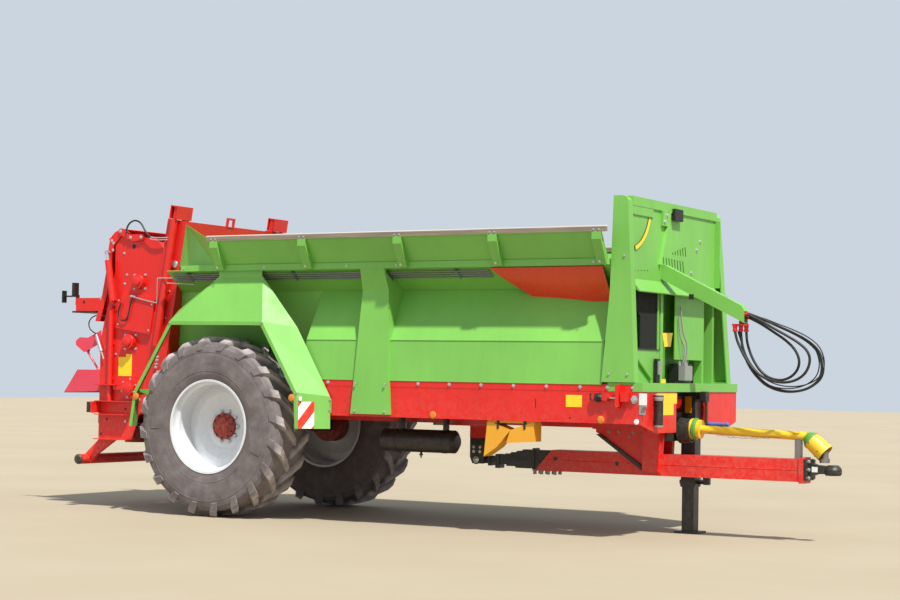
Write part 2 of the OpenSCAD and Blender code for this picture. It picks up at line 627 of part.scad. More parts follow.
// Vent slots: each row has its first slot's place, foot and height, its count and pitch, and how feet and heights grow
vents = [[-282, 2704, 76, 8, 72, -10, 8], [-60, 2812, 25, 6, 66, 0, 16]];
slot_w = 24;
slot_lean = 14;
module headboard_panel() color("#86c864") at_frame() {
    difference() {
        block([board_x - 20, board_x], [-board_half, board_half], board_z);
        for (v = vents) for (i = [0:v[3] - 1])
            translate([board_x - 30, v[0] + v[4] * i, v[1] + v[5] * i]) rotate([slot_lean, 0, 0])
                cube([40, slot_w, v[2] + v[6] * i]);
    }
    block([hopper_front, board_x - 20], [-board_half, board_half], [board_z[1] - 8, board_z[1]]);
    block([board_x - 50, board_x + 15], [-board_half - 8, board_half + 8], [board_z[1], board_z[1] + 90]);
    cross_plate([[-402, 2700], [-177, board_z[1]], [-185, board_z[1]], [-410, 2700]], [board_x, board_x + 36]);
    block([board_x, board_x + 30], [-360, -240], [board_z[1] - 150, board_z[1]]);
    block([board_x, board_x + 12], [-board_half, -560], [board_z[1] - 85, board_z[1]]);
    block([board_x, board_x + 60], [board_half - 8, board_half], [board_z[0] + 80, board_z[1]]);
    side_plate([[board_x, 2450], [board_x, 2530], [board_x + 100, 2410], [board_x + 95, 2400]], [-board_half, board_half]);
    block([hopper_front, board_x], [-board_half, board_half], [2440, 2450]);
}
module front_bay() color("#74ac4c") at_frame() {
    bay = [board_x - 100, board_x];
    for (y = [-board_half, board_half - 50]) block(bay, [y, y + 50], [sill_top, 2440]);
    block(bay, [-330, -270], [sill_top, 2440]);
    block([board_x - 20, board_x - 10], [50 - board_half, -330], [sill_top, 1850]);
    block([board_x - 20, board_x - 10], [50, 750], [1760, 2440]);
    block([board_x - 100, board_x - 10], [750, 800], [sill_top, 2440]);
}

module headboard() {
    headboard_panel();
    front_bay();
}

// Fenders: a sheet lofted between the outer lip and the edge at the hopper
fender_lip = [[-wheel_r - 92, 948], [-wheel_r - 36, 1328], [-530, 2100], [-490, 2100], [704, 2096], [724, 2064],
    [wheel_r + 192, 1358], [wheel_r + 214, 980]];
fender_edge = [[-wheel_r - 150, 948], [-wheel_r - 120, 1345], [-560, 2230], [-30, 2585], [560, 2585], [1020, 2043],
    [wheel_r + 481, 1321], [wheel_r + 490, 983]];
fender_w = 200;
fender_y = [skirt_half + 20, skirt_half + 20 + fender_w];
fender_t = 6;
function inset(p, y) = let (v = unit([0, wheel_r] - p)) [p[0] + fender_t * v[0], y, p[1] + fender_t * v[1]];
module fender_shape() {
    n = len(fender_lip);
    rows = [[for (p = fender_lip) [p[0], fender_y[1], p[1]]], [for (p = fender_edge) [p[0], fender_y[0], p[1]]],
        [for (p = fender_edge) inset(p, fender_y[0])], [for (p = fender_lip) inset(p, fender_y[1])]];
    points = [for (row = rows) for (p = row) p];
    strips = [for (r = [0:3]) for (i = [0:n - 2])
        let (a = r * n + i, b = (r + 1) % 4 * n + i) each [[a, a + 1, b + 1], [a, b + 1, b]]];
    ends = [[0, n, 2 * n], [0, 2 * n, 3 * n], [n - 1, 3 * n - 1, 2 * n - 1], [n - 1, 4 * n - 1, 3 * n - 1]];
    polyhedron(points = points, faces = concat(strips, ends));
    side_plate(folded(fender_lip, -38), [fender_y[1] - 5, fender_y[1]]);
    block([-20, 550], [fender_y[0] - 4, fender_y[0] + 2], [2575, top_rail_z[0]]);
    block([wheel_r + 470, wheel_r + 488], [skirt_half, fender_y[0] + 4], [1150, 1290]);
    block([-wheel_r - 150, -wheel_r - 128], [tower_out + fit, fender_y[0] + 2], [1290, 1350]);
}
module fender_left() color("#8ed06a") at_frame() fender_shape();
module fender_right() color("#8ed06a") at_frame() mirror([0, 1, 0]) fender_shape();

// Hoses: routes are chosen points, swept with eight sides
hose_r = 13;
route_a = [[5716, -330, 2205], [5860, -330, 2140], [6000, -330, 2063], [6120, -328, 2000], [6240, -325, 1930],
    [6320, -322, 1860], [6352, -318, 1780], [6335, -315, 1690], [6280, -312, 1615], [6190, -310, 1565],
    [6080, -308, 1548], [5960, -306, 1565], [5850, -304, 1612], [5760, -302, 1690], [5690, -301, 1780],
    [5635, -300, 1880], [5600, -300, 1960], [5580, -300, 2040]];
route_b = [[5716, -295, 2212], [5860, -293, 2160], [6010, -290, 2095], [6160, -288, 2030], [6300, -286, 1955],
    [6400, -284, 1870], [6450, -282, 1770], [6460, -280, 1670], [6430, -278, 1580], [6350, -276, 1510],
    [6240, -274, 1470], [6110, -272, 1460], [5990, -270, 1480], [5880, -268, 1530], [5790, -266, 1610],
    [5720, -264, 1700], [5670, -262, 1800], [5640, -260, 1910], [5625, -260, 2040]];
route_c = [[5716, -267, 2172], [5840, -262, 2110], [5970, -258, 2030], [6090, -254, 1950], [6180, -250, 1860],
    [6220, -247, 1760], [6200, -244, 1670], [6130, -241, 1600], [6030, -238, 1570], [5920, -236, 1590],
    [5830, -234, 1650], [5760, -232, 1740], [5710, -231, 1840], [5680, -230, 1940], [5670, -230, 2040]];
function tangent(p, i) = unit(p[min(i + 1, len(p) - 1)] - p[max(i - 1, 0)]);
function hose_ring(p, i, r) = let (t = tangent(p, i), s = unit(cross(t, [0, 1, 0.02])), u = cross(s, t))
    [for (k = [0:7]) p[i] + r * (cos(45 * k) * s + sin(45 * k) * u)];
module hose(p, r) {
    n = len(p);
    points = [for (i = [0:n - 1]) each hose_ring(p, i, r)];
    walls = [for (i = [0:n - 2]) for (k = [0:7]) let (a = 8 * i + k, b = 8 * i + (k + 1) % 8)
        each [[a, b + 8, b], [a, a + 8, b + 8]]];
    caps = [[for (k = [0:7]) k], [for (k = [7:-1:0]) 8 * (n - 1) + k]];
    polyhedron(points = points, faces = concat(walls, caps));
}
module hose_a() color("#22201f") at_frame() hose(route_a, hose_r);
module hose_b() color("#22201f") at_frame() hose(route_b, hose_r);
module hose_c() color("#22201f") at_frame() hose(route_c, hose_r);
module hose_beam() color("#7cc258") at_frame() {
    difference() {
        side_plate([[4800, 2700], [4840, 2700], [5660, 2290], [5690, 2240], [5690, 2120], [4800, 2560]], [-345, -250]);
        side_plate([[4790, 2690], [4836, 2690], [5652, 2282], [5680, 2236], [5680, 2100], [4790, 2540]], [-337, -258]);
    }
}
module hose_sockets() color("#c03028") at_frame() {
    for (p = [route_a, route_b, route_c]) {
        translate(p[len(p) - 1]) cylinder(r = hose_r + 6, h = 2100 - p[len(p) - 1][2]);
        along_x(hose_r + 2, [5690, 5716], p[0][1], p[0][2]);
    }
    block([5555, 5690], [-325, -208], [2095, 2112]);
    block([5600, 5690], [-250, -244], [2095, 2200]);
}

// Rear unit: towers, gate and its cylinders
half_depth = tower_depth / 2;
tower_wall = 12;
foot_z = (rail_z - gate_foot[1]) / cos(lean);
module tower_shape() {
    leaning() both_sides() {
        difference() {
            translate([-half_depth, tower_in, foot_z]) cube([tower_depth, tower_out - tower_in, tower_len - foot_z]);
            translate([-half_depth + tower_wall, tower_in - 1, foot_z + 110])
                cube([tower_depth - 2 * tower_wall, tower_out - tower_in - tower_wall + 1, tower_len - foot_z]);
        }
        translate([half_depth - tower_wall, 0, 0]) rotate([90, 0, 90]) linear_extrude(tower_wall)
            polygon([[wall_y(gate_foot[1]) + 4, -20], [tower_in + 1, -20], [tower_in + 1, 920], [waist_half + 4, 920]]);
    }
}
module rear_towers() color("#e23a30") {
    rear_cover();
    tower_shape();
    at_rear() both_sides() block([-1180, -1110], [rail_out, tower_in], [rail_z + 20, rail_z + 90]);
}
ear_z = tower_len + run_gap;
ear_h = 150;
ear_w = gate_cyl_y + gate_barrel_r - 790;
barrel_foot = rod_foot - 300;
module gate() color("#d8302a") leaning() {
    translate([-5, -gate_half, 0]) cube([10, 2 * gate_half, gate_len]);
    for (y = [-600, -200, 200, 600]) translate([-26, y - 30, 0]) cube([22, 60, gate_len]);
    for (z = [0, 560, 1120, gate_len - 60]) translate([-26, -gate_half, z]) cube([22, 2 * gate_half, 60]);
    both_sides() {
        translate([-26, gate_half - 68, 0]) cube([52, 68, ear_z + ear_h - 5]);
        translate([-gate_edge, gate_half, 0])
            cube([2 * gate_edge, tower_out - tower_wall - run_gap - gate_half, gate_len]);
        translate([-50, 790, ear_z + ear_h - 12]) cube([100, ear_w, 12]);
        for (x = [-50, 40]) translate([x, 790, ear_z]) cube([10, ear_w, ear_h]);
        translate([0, gate_cyl_y, rod_foot]) cylinder(r = gate_rod_r, h = ear_z + ear_h - 5 - rod_foot);
    }
    difference() {
        translate([-12, -70, gate_len - 10]) cube([24, 140, 110]);
        translate([-13, -46, gate_len]) cube([26, 92, 76]);
    }
}
module gate_barrels() color("#d8302a") leaning() both_sides() difference() {
    union() {
        translate([0, gate_cyl_y, barrel_foot]) cylinder(r = gate_barrel_r, h = tower_len - barrel_foot);
        for (z = [barrel_foot + 20, 1100, 1690]) translate([-25, tower_out, z]) cube([50, gate_cyl_y - tower_out, 50]);
    }
    translate([0, gate_cyl_y, rod_foot - 10]) cylinder(r = gate_rod_r + fit, h = tower_len);
}
plate_front = half_depth + fit;
rib_out = 92;
cover_t = 45;
// Stiffening ribs: height, front end
panel_ribs = [[1386, -1590], [1200, -1340], [1050, -1420], [770, -1420]];
module side_panel_shape() difference() {
    union() {
        side_plate([[lean_x(2917, -plate_front), 2917], [-1120, 3050], [-1470, 3080], [-1560, 3165], [-1650, 3165],
            [-1700, 3060], [-1700, 2681], [-1750, 2419], [-1840, 2117], [-1889, 1900], [-1889, 770], [-1400, 770],
            [-1310, rail_z], [lean_x(rail_z, -plate_front), rail_z]], [side_out - side_t, side_out]);
        for (rib = panel_ribs) block([-1889, rib[1]], [side_out - 1, side_out + rib_out], [rib[0], rib[0] + 10]);
        side_plate([[-1560, 2412], [lean_x(2350, -plate_front), 2350], [lean_x(1965, -plate_front), 1965], [-1637, 2039]],
            [side_out - 1, side_out + cover_t]);
        side_plate([[-1575, 2440], [lean_x(2385, -plate_front), 2385], [lean_x(2350, -plate_front), 2350], [-1560, 2412]],
            [side_out - 1, side_out + cover_t / 2]);
        along_y(18, flap_hinge[0], [side_out - 30, side_out + 21], flap_hinge[1]);
        side_plate([[-1640, 3150], [-1618, 3168], [-1570, 3168], [-1500, 3100], [-1290, 3098], [-1262, 3060],
            [-1300, 3030], [-1430, 3020], [-1600, 3090], [-1640, 3110]], [side_out + 20, side_out + 30]);
        for (x = [-1458, -1308]) along_y(16, x, [side_out - 1, side_out + 21], 3062);
        along_y(14, flap_cyl_foot[0], [side_out - 1, flap_cyl_y + 44], flap_cyl_foot[1]);
    }
    for (a = [upper_axis, lower_axis]) along_y(58, a[0], [side_out - 20, side_out + 1], a[1]);
}
module side_panel_right() color("#e8342c") at_rear() mirror([0, 1, 0]) {
    side_panel_shape();
    beater_bearings();
    side_drive();
}
module side_panel_left() color("#e8342c") at_rear() {
    side_panel_shape();
    beater_bearings();
}
module rear_cover() color("#e8342c") at_rear() {
    side_plate(folded([[-1060, 2890], [-1300, 2960], [-1545, 3060]], 8), [side_t - side_out, side_out - side_t]);
}
module beater_bearings() for (a = [upper_axis, lower_axis]) difference() {
    along_y(85, a[0], [side_out, side_out + 52], a[1]);
    along_y(40 + fit, a[0], [side_out - 1, side_out + 42], a[1]);
}
// A tooth's outline from the drum out to its hooked tip
tooth_t = 12;
tooth_turn = 50;
tooth = [[beater_drum_r - 15, -62], [beater_drum_r + 70, -48], [beater_r - 60, -40], [beater_r - 4, -34],
    [beater_r - 2, -6], [beater_r - 40, 26], [beater_drum_r + 70, 44], [beater_drum_r - 15, 62]];
module beater(axis) at_rear() translate([axis[0], 0, axis[1]]) rotate([90, 0, 0]) {
    translate([0, 0, -side_out - 38]) cylinder(r = 40, h = 2 * (side_out + 38));
    translate([0, 0, -860]) cylinder(r = beater_drum_r, h = 1720);
    for (end = [-852, 842]) translate([0, 0, end]) cylinder(r = beater_drum_r + 90, h = 10);
    for (i = [0:beater_plates - 1]) translate([0, 0, -810 + i * 1608 / (beater_plates - 1)]) rotate(tooth_turn * i)
        linear_extrude(tooth_t) for (k = [0, 180]) rotate(k) polygon(tooth);
}
module beater_upper() color("#8a3028") beater(upper_axis);
module beater_lower() color("#8a3028") beater(lower_axis);
module disc_beam() color("#7a2a24") at_rear() {
    block([disc_x - 70, disc_x + 70], [side_t - side_out, side_out - side_t], [790, 880]);
    block([disc_x + 69, -1370], [-60, 60], [800, 880]);
    for (y = [-1, 1] * disc_pitch / 2) {
        along_z(120, disc_x, y, [730, 905]);
        along_z(30, disc_x, y, [900, 1040]);
    }
}
module disc_shape() difference() {
    union() {
        translate([0, 0, disc_z]) cylinder(r = disc_r - 25, h = 10);
        translate([0, 0, 905 + run_gap]) cylinder(r = 72, h = 145);
        for (i = [0:disc_blades - 1]) rotate(360 / disc_blades * i)
            translate([60, -6, disc_z + 5]) cube([disc_r - 64, 12, 90]);
    }
    translate([0, 0, 900]) cylinder(r = 30 + fit, h = 141);
}
module disc_right() color("#9a3a30") at_rear() translate([disc_x, -disc_pitch / 2, 0]) disc_shape();
module disc_left() color("#9a3a30") at_rear() translate([disc_x, disc_pitch / 2, 0]) disc_shape();
module rear_hood() color("#e8485a") at_rear() {
    side_plate(folded([[-1889.3, 1560], [-2225, 1558], [-2418, 1295]], 8), [-side_out, side_out]);
    both_sides() {
        side_plate([[-1889.3, 1560], [-2225, 1558], [-2418, 1295], [-1889.3, 1315]], [side_out - 8, side_out]);
        side_plate([[-1889.3, 2010], [-1889.3, 1870], [-2100, 1770], [-2137, 1760], [-2255, 1840], [-2261, 1886],
            [-2200, 1930], [-2080, 1925]], [side_out - side_t, side_out]);
        strut(12, [-2110, 1775], [-1935, 1555], side_out - 30);
        block([-2140, -2080], [side_out - 42, side_out - 6], [1765, 1800]);
    }
}
module underrun_frame() color("#e23a30") at_rear() {
    along_y(underrun_r, -2050, [-1100, 1100], 540);
    both_sides() {
        side_plate([[-1640, 770], [-1880, 770], [-2085, 590], [-2085, 490], [-2010, 490], [-1900, 600]],
            [side_out - 40, side_out]);
        block([-1885, -1865], [side_out, 1110], [1070, 1200]);
    }
}
module underrun_caps() color("#8a8f96") at_rear() both_sides()
    translate([-2050, 1100, 540]) rotate([-90, 0, 0]) cylinder(r1 = underrun_r, r2 = underrun_r - 18, h = 22);
module underrun_bar() {
    underrun_frame();
    underrun_caps();
}
module tail_lamps() color("#2b2728") at_rear() both_sides() block([-1945, -1885], [990, 1105], [1075, 1195]);
module spreading_flap() color("#e8342c") at_rear() {
    line = [[-1766, 3055], [-1815, 2681], [-1866, 2419], [-1959, 2117]];
    side_plate(folded(line, 8), [-side_out - 18, side_out + 18]);
    side_plate(folded([[-1600, 3168], [-1690, 3120], [-1764, 3058]], 8), [side_t + 8 - side_out, side_out - side_t - 8]);
    block([-1780, -1700], [-side_out - 18, side_out + 18], [3040, 3060]);
    both_sides() difference() {
        union() {
            along_y(42, flap_hinge[0], [side_out + 6, side_out + 18], flap_hinge[1]);
            side_plate([[-1590, 3167], [-1600, 3095], [-1710, 2980], [-1740, 2860], [-1750, 2681], [-1800, 2419],
                [-1890, 2120], [-1959, 2117], [-1866, 2419], [-1815, 2681], [-1800, 2870], [-1770, 3060], [-1700, 3130]],
                [side_out + 6, side_out + 18]);
        }
        along_y(18 + fit, flap_hinge[0], [side_out, side_out + 20], flap_hinge[1]);
    }
    difference() {
        block([-2284, -1905], [-940, 940], [2232, 2383]);
        block([-2276, -1935], [-932, 932], [2231, 2375]);
    }
}
module flap_lamps() color("#2a2728") at_rear() {
    block([-2330, -1980], [-950, 950], [2214, 2232]);
    both_sides() {
        block([-2290, -2284], [880, 940], [2300, 2420]);
        along_x(9, [-lamp_reach + 20, -2287], 910, 2405);
        translate([-lamp_reach, 880, 2330]) cube([22, 60, 140]);
        along_x(9, [-2330, -2320], 910, 2405);
        block([-2345, -2305], [870, 945], [2400, 2560]);
    }
}
flap_dir = unit(flap_rod_eye - flap_cyl_foot);
module flap_barrels() color("#e85048") at_rear() both_sides() difference() {
    union() {
        strut(38, flap_cyl_foot, flap_cyl_foot + 470 * flap_dir, flap_cyl_y);
        along_y(30, flap_cyl_foot[0], [flap_cyl_y - 25, flap_cyl_y + 25], flap_cyl_foot[1]);
    }
    strut(20 + fit, flap_cyl_foot + 60 * flap_dir, flap_cyl_foot + 480 * flap_dir, flap_cyl_y);
    along_y(14 + fit, flap_cyl_foot[0], [flap_cyl_y - 60, flap_cyl_y + 60], flap_cyl_foot[1]);
}
module cylinder_barrels() {
    gate_barrels();
    flap_barrels();
}
module flap_rods() color("#c8ccd0") at_rear() both_sides() {
    strut(20, flap_cyl_foot + 75 * flap_dir, flap_rod_eye, flap_cyl_y);
    along_y(28, flap_rod_eye[0], [flap_cyl_y - 15, flap_cyl_y + 15], flap_rod_eye[1]);
    along_y(13, flap_rod_eye[0], [side_out + 18 + fit, flap_cyl_y], flap_rod_eye[1]);
}
drive_hub = [-1410, 1358];
module side_drive() {
    along_y(122, drive_hub[0], [side_out - 1, side_out + 62], drive_hub[1]);
    along_y(84, drive_hub[0], [side_out + 61, side_out + 96], drive_hub[1]);
    block([drive_hub[0] - 240, drive_hub[0]], [side_out - 1, side_out + 50], [drive_hub[1] - 20, drive_hub[1] + 26]);
    along_z(28, -1712, side_out + 34, [1209, 2290]);
    for (z = [1450, 1850, 2240]) block([-1740, -1684], [side_out - 1, side_out + 36], [z, z + 24]);
}
module air_tank() color("#2a2523") at_frame() {
    along_x(120, [1760, 2605], -600, 870);
    for (end = [[1760, -90], [2605, 90]]) translate([end[0], -600, 870]) rotate([0, end[1], 0])
        cylinder(r1 = 120, r2 = 70, h = 38);
    for (x = [1960, 2500]) block([x - 15, x + 15], [-640, -560], [980, skirt_bottom + sheet_t]);
}
module wheel_chocks() color("#d89a20") at_frame() {
    chock_y = [20 - skirt_half, 180 - skirt_half];
    side_plate([[3310, 1108], [3356, 1108], [3576, 1031], [3420, 857], [3276, 762]], chock_y);
    side_plate([[3571, 1031], [3800, 1108], [3836, 1108], [3836, 922], [3529, 902]], chock_y);
    block([3310, 3836], [chock_y[0] + 10, chock_y[1] - 10], [1100, skirt_bottom]);
}
module hydraulic_lines() color("#b9bcc0") at_frame() mirror([0, 1, 0]) {
    for (s = pipe_slots) let (p = pipe_at(s, 22)) along_x(8, [-700, 3300], p[0], p[1]);
    for (x = [-500, 900, 2900]) cross_plate([pipe_at(166, 0.3), pipe_at(29, 0.3), pipe_at(29, 30), pipe_at(166, 30)],
        [x, x + 30]);
}
module document_tube() color("#2b2624") at_frame() {
    along_z(42, frame_front + 30 + 46, -900, [1100, 1385]);
    along_z(46, frame_front + 30 + 46, -900, [1384, 1400]);
    block([frame_front + 30, frame_front + 50], [-930, -870], [1150, 1180]);
    block([frame_front + 30, frame_front + 50], [-930, -870], [1320, 1350]);
}
// Curved scale of the load, on the headboard
scale_mid = [-1100, 3300];
scale_r = [466, 510];
module level_indicator() color("#e0c030") at_frame()
    translate([board_x, scale_mid[0], scale_mid[1]]) rotate([90, 0, 90]) intersection() {
        difference() {
            cylinder(r = scale_r[1], h = 10);
            translate([0, 0, -1]) cylinder(r = scale_r[0], h = 12);
        }
        linear_extrude(10) polygon([[0, 0], [640, -226], [640, -900], [168, -640]]);
    }
module work_lamp() color("#1e1c1c") at_frame() {
    block([board_x + 15, board_x + 50], [-110, 90], [board_z[1] - 80, board_z[1] + 40]);
    block([board_x, board_x + 20], [-30, 10], [board_z[1] - 60, board_z[1] - 20]);
}
module front_valves() color("#9a9a96") at_frame() {
    block([board_x - 100, board_x - 10], [120, 480], [sill_top, 1720]);
    block([board_x, board_x + 30], [-480, -400], [sill_top, 1760]);
}
module front_fittings() {
    document_tube();
    level_indicator();
    work_lamp();
    front_valves();
}

tyre_right();
tyre_left();
rim_right();
rim_left();
hub_right();
hub_left();
axle();
chassis_frame();
side_skirts();
drawbar();
drawbar_brackets();
drawbar_spring();
hitch_coupling();
jack_tube();
jack_leg();
jack_crank();
front_gearbox();
pto_shaft();
pto_yoke();
rear_gearbox();
floor_chain();
hopper_floor();
hopper_side_right();
hopper_side_left();
flare_ribs();
top_planks();
side_skins();
hopper_posts();
front_wall();
front_sill();
headboard();
fender_right();
fender_left();
hose_a();
hose_b();
hose_c();
hose_beam();
hose_sockets();
rear_towers();
gate();
cylinder_barrels();
side_panel_right();
side_panel_left();
beater_upper();
beater_lower();
disc_beam();
disc_right();
disc_left();
rear_hood();
underrun_bar();
tail_lamps();
spreading_flap();
flap_lamps();
flap_rods();
air_tank();
wheel_chocks();
hydraulic_lines();
front_fittings();
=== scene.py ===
"""The looks of a towed manure spreader: paint, rubber, wood, plates, bolts, hoses and lamps."""
import math
import bmesh
import bpy
from mathutils import Matrix, Vector


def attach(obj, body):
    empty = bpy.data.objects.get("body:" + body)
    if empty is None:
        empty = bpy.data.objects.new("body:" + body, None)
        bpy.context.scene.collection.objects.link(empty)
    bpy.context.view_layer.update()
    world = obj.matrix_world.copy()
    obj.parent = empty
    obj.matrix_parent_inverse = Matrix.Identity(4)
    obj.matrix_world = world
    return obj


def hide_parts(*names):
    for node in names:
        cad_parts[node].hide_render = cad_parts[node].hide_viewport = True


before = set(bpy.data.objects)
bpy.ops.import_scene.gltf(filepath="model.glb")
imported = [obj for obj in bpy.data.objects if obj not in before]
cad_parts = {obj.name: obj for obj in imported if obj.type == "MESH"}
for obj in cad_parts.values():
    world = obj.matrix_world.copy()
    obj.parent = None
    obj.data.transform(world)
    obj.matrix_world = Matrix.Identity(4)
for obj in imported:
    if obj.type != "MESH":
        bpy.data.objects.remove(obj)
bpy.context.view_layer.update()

# Every length below is in millimetres from the axle's middle at the ground, as in the CAD source
AXLE_X = -2035
TO_ROW = Matrix.Translation((AXLE_X / 1000, 0, 0)) @ Matrix.Diagonal((0.001, 0.001, 0.001, 1))
WHEEL_R = 970
WHEEL_Y = 1115
# Outer faces, as distances from the middle plane
SKIRT_Y = 1200
FENDER_Y = 1420
FLARE_Y = 1404
REAR_SIDE_Y = 956
DRAWBAR_Y = 100
# Front faces of the headboard and of the front box
BOARD_X = 4800
BOX_X = 4998
RIGHT = -1
LEFT = 1
SIDES = (RIGHT, LEFT)
# Turns round one chain link, from its start back to it
LINK_TURNS = [math.radians(45 * i) for i in range(9)]
# Edges that turn by more than this many degrees stay sharp
SHARP_ANGLE = 35
# Camera: place in metres from the axle's middle, then yaw, pitch and roll in degrees, lens and sensor
CAMERA_AT = (12.6874, -18.0391, 1.569)
CAMERA_TURN = (30.2434, 2.2138, -0.9495)
CAMERA_LENS = 77.27
CAMERA_SENSOR = 36
# Way towards the sun and towards the soft fill light, and the sky's strength
KEY_WAY = (0.447, -0.304, 0.84)
FILL_WAY = (0.2, -0.9, 0.35)
SKY_STRENGTH = 0.74


def across(side, low, high):
    """Span between two distances from the middle plane, on one side of it."""
    return sorted((side * low, side * high))


def add_camera():
    """Camera at the photograph's place and angle."""
    yaw, pitch, roll = (math.radians(d) for d in CAMERA_TURN)
    ahead = Vector((-math.sin(yaw) * math.cos(pitch), math.cos(yaw) * math.cos(pitch), math.sin(pitch)))
    right = Vector((math.cos(yaw), math.sin(yaw), 0))
    up = right.cross(ahead)
    tilted_right = right * math.cos(roll) - up * math.sin(roll)
    tilted_up = right * math.sin(roll) + up * math.cos(roll)
    data = bpy.data.cameras.new("camera")
    data.sensor_width = CAMERA_SENSOR
    data.lens = CAMERA_LENS
    data.clip_end = 200
    camera = bpy.data.objects.new("camera", data)
    bpy.context.scene.collection.objects.link(camera)
    turn = Matrix((tilted_right, tilted_up, -ahead)).transposed().to_4x4()
    place = (CAMERA_AT[0] + AXLE_X / 1000, CAMERA_AT[1], CAMERA_AT[2])
    camera.matrix_world = Matrix.Translation(place) @ turn
    bpy.context.scene.camera = camera


def add_sun(name, towards_light, strength, angle, color):
    """A sun lamp from a way, with its angle in degrees."""
    data = bpy.data.lights.new(name, "SUN")
    data.energy = strength
    data.angle = math.radians(angle)
    data.color = color
    sun = bpy.data.objects.new(name, data)
    sun.rotation_mode = "QUATERNION"
    sun.rotation_quaternion = Vector(towards_light).to_track_quat("Z", "Y")
    bpy.context.scene.collection.objects.link(sun)


class Nodes:
    """A material whose shader nodes are added and linked here, each socket fed by a value or another node."""

    def __init__(self, name):
        self.material = bpy.data.materials.new(name)
        self.material.use_nodes = True
        self.tree = self.material.node_tree
        self.tree.nodes.clear()
        self.shader = self.tree.nodes.new("ShaderNodeBsdfPrincipled")
        output = self.tree.nodes.new("ShaderNodeOutputMaterial")
        self.link(self.shader.outputs[0], output.inputs["Surface"])
        self.place = self.tree.nodes.new("ShaderNodeTexCoord").outputs["Object"]

    def link(self, a, b):
        self.tree.links.new(a, b)

    def plug(self, value, socket):
        if isinstance(value, bpy.types.NodeSocket):
            self.link(value, socket)
        else:
            socket.default_value = value

    def math(self, how, a, b=0.0):
        n = self.tree.nodes.new("ShaderNodeMath")
        n.operation = how
        for value, socket in zip((a, b), n.inputs):
            self.plug(value, socket)
        return n.outputs[0]

    def mix(self, share, a, b):
        n = self.tree.nodes.new("ShaderNodeMix")
        n.data_type = "RGBA"
        self.plug(share, n.inputs["Factor"])
        self.plug(a, n.inputs["A"])
        self.plug(b, n.inputs["B"])
        return n.outputs["Result"]

    def span(self, value, low, high, to_low=0.0, to_high=1.0):
        n = self.tree.nodes.new("ShaderNodeMapRange")
        keys = ("Value", "From Min", "From Max", "To Min", "To Max")
        for v, key in zip((value, low, high, to_low, to_high), keys):
            self.plug(v, n.inputs[key])
        return n.outputs[0]

    def scaled(self, x, y, z):
        n = self.tree.nodes.new("ShaderNodeMapping")
        n.inputs["Scale"].default_value = (x, y, z)
        self.link(self.place, n.inputs["Vector"])
        return n.outputs[0]

    def noise(self, scale, detail, place=None, rough=0.55):
        n = self.tree.nodes.new("ShaderNodeTexNoise")
        n.inputs["Scale"].default_value = scale
        n.inputs["Detail"].default_value = detail
        n.inputs["Roughness"].default_value = rough
        self.link(place or self.place, n.inputs["Vector"])
        return n.outputs["Fac"]

    def split(self, place=None):
        n = self.tree.nodes.new("ShaderNodeSeparateXYZ")
        self.link(place or self.place, n.inputs[0])
        return n.outputs

    def bump(self, height, strength, distance):
        n = self.tree.nodes.new("ShaderNodeBump")
        n.inputs["Strength"].default_value = strength
        n.inputs["Distance"].default_value = distance
        self.link(height, n.inputs["Height"])
        if self.shader.inputs["Normal"].links:
            self.link(self.shader.inputs["Normal"].links[0].from_socket, n.inputs["Normal"])
        self.link(n.outputs[0], self.shader.inputs["Normal"])

    def set(self, **values):
        for key, value in values.items():
            self.plug(value, self.shader.inputs[key.replace("_", " ")])


def rgb(code):
    """sRGB hex code as a linear colour."""
    channels = [int(code[i:i + 2], 16) / 255 for i in (0, 2, 4)]
    return [c / 12.92 if c <= 0.04045 else ((c + 0.055) / 1.055) ** 2.4 for c in channels] + [1.0]


def shade(color, k):
    """The colour made lighter or darker."""
    return [min(1.0, c * k) for c in color[:3]] + [1.0]


DUST = rgb("a8987c")
# Heights in metres between which the dust thins out, and the planks' top edge, painted pale as a painted
# highlight
DUST_FADES = (1.5, 0.35)
PLANK_LIT_TOP = (3.008, 3.016)
# Radii in metres on a tyre: the dark foot of the wall, the mud in the valleys and the worn lug tops
WALL_FOOT = (0.60, 0.50)
VALLEYS = (0.86, 0.93)
LUG_TOPS = (0.90, 0.95)
# Radii in metres where the wall's fine ribs begin and end
RIBS_BEGIN = (0.70, 0.73)
RIBS_END = (0.84, 0.81)


def grime(n, base, amount):
    """Base colour with large soft variation, fine speckle and dust that settles towards the ground."""
    soft = n.span(n.noise(0.9, 3), 0.3, 0.7)
    varied = n.mix(soft, shade(base, 0.90), shade(base, 1.08))
    streaks = n.span(n.noise(1.0, 5, n.scaled(9, 9, 0.8)), 0.45, 0.75)
    varied = n.mix(n.math("MULTIPLY", streaks, 0.22), varied, shade(base, 0.72))
    height = n.span(n.split()[2], *DUST_FADES)
    speckle = n.span(n.noise(22, 8, rough=0.7), 0.42, 0.72)
    dust = n.math("MULTIPLY", n.math("MULTIPLY", n.math("ADD", height, 0.12), speckle), amount)
    return n.mix(n.math("MINIMUM", dust, 0.85), varied, DUST), dust


def paint(name, code, rough, amount, coat=0.25):
    """Sprayed sheet steel: slight waves, orange peel, streaks and dust."""
    n = Nodes(name)
    colour, dust = grime(n, rgb(code), amount)
    patch = n.span(n.noise(6, 5), 0.3, 0.7, rough - 0.05, rough + 0.1)
    n.set(Base_Color=colour, Roughness=n.math("ADD", patch, n.math("MULTIPLY", dust, 0.4)))
    n.set(Coat_Weight=coat, Coat_Roughness=0.12, IOR=1.5)
    n.bump(n.noise(1.6, 1), 0.35, 0.01)
    n.bump(n.noise(260, 2), 0.08, 0.0006)
    return n.material


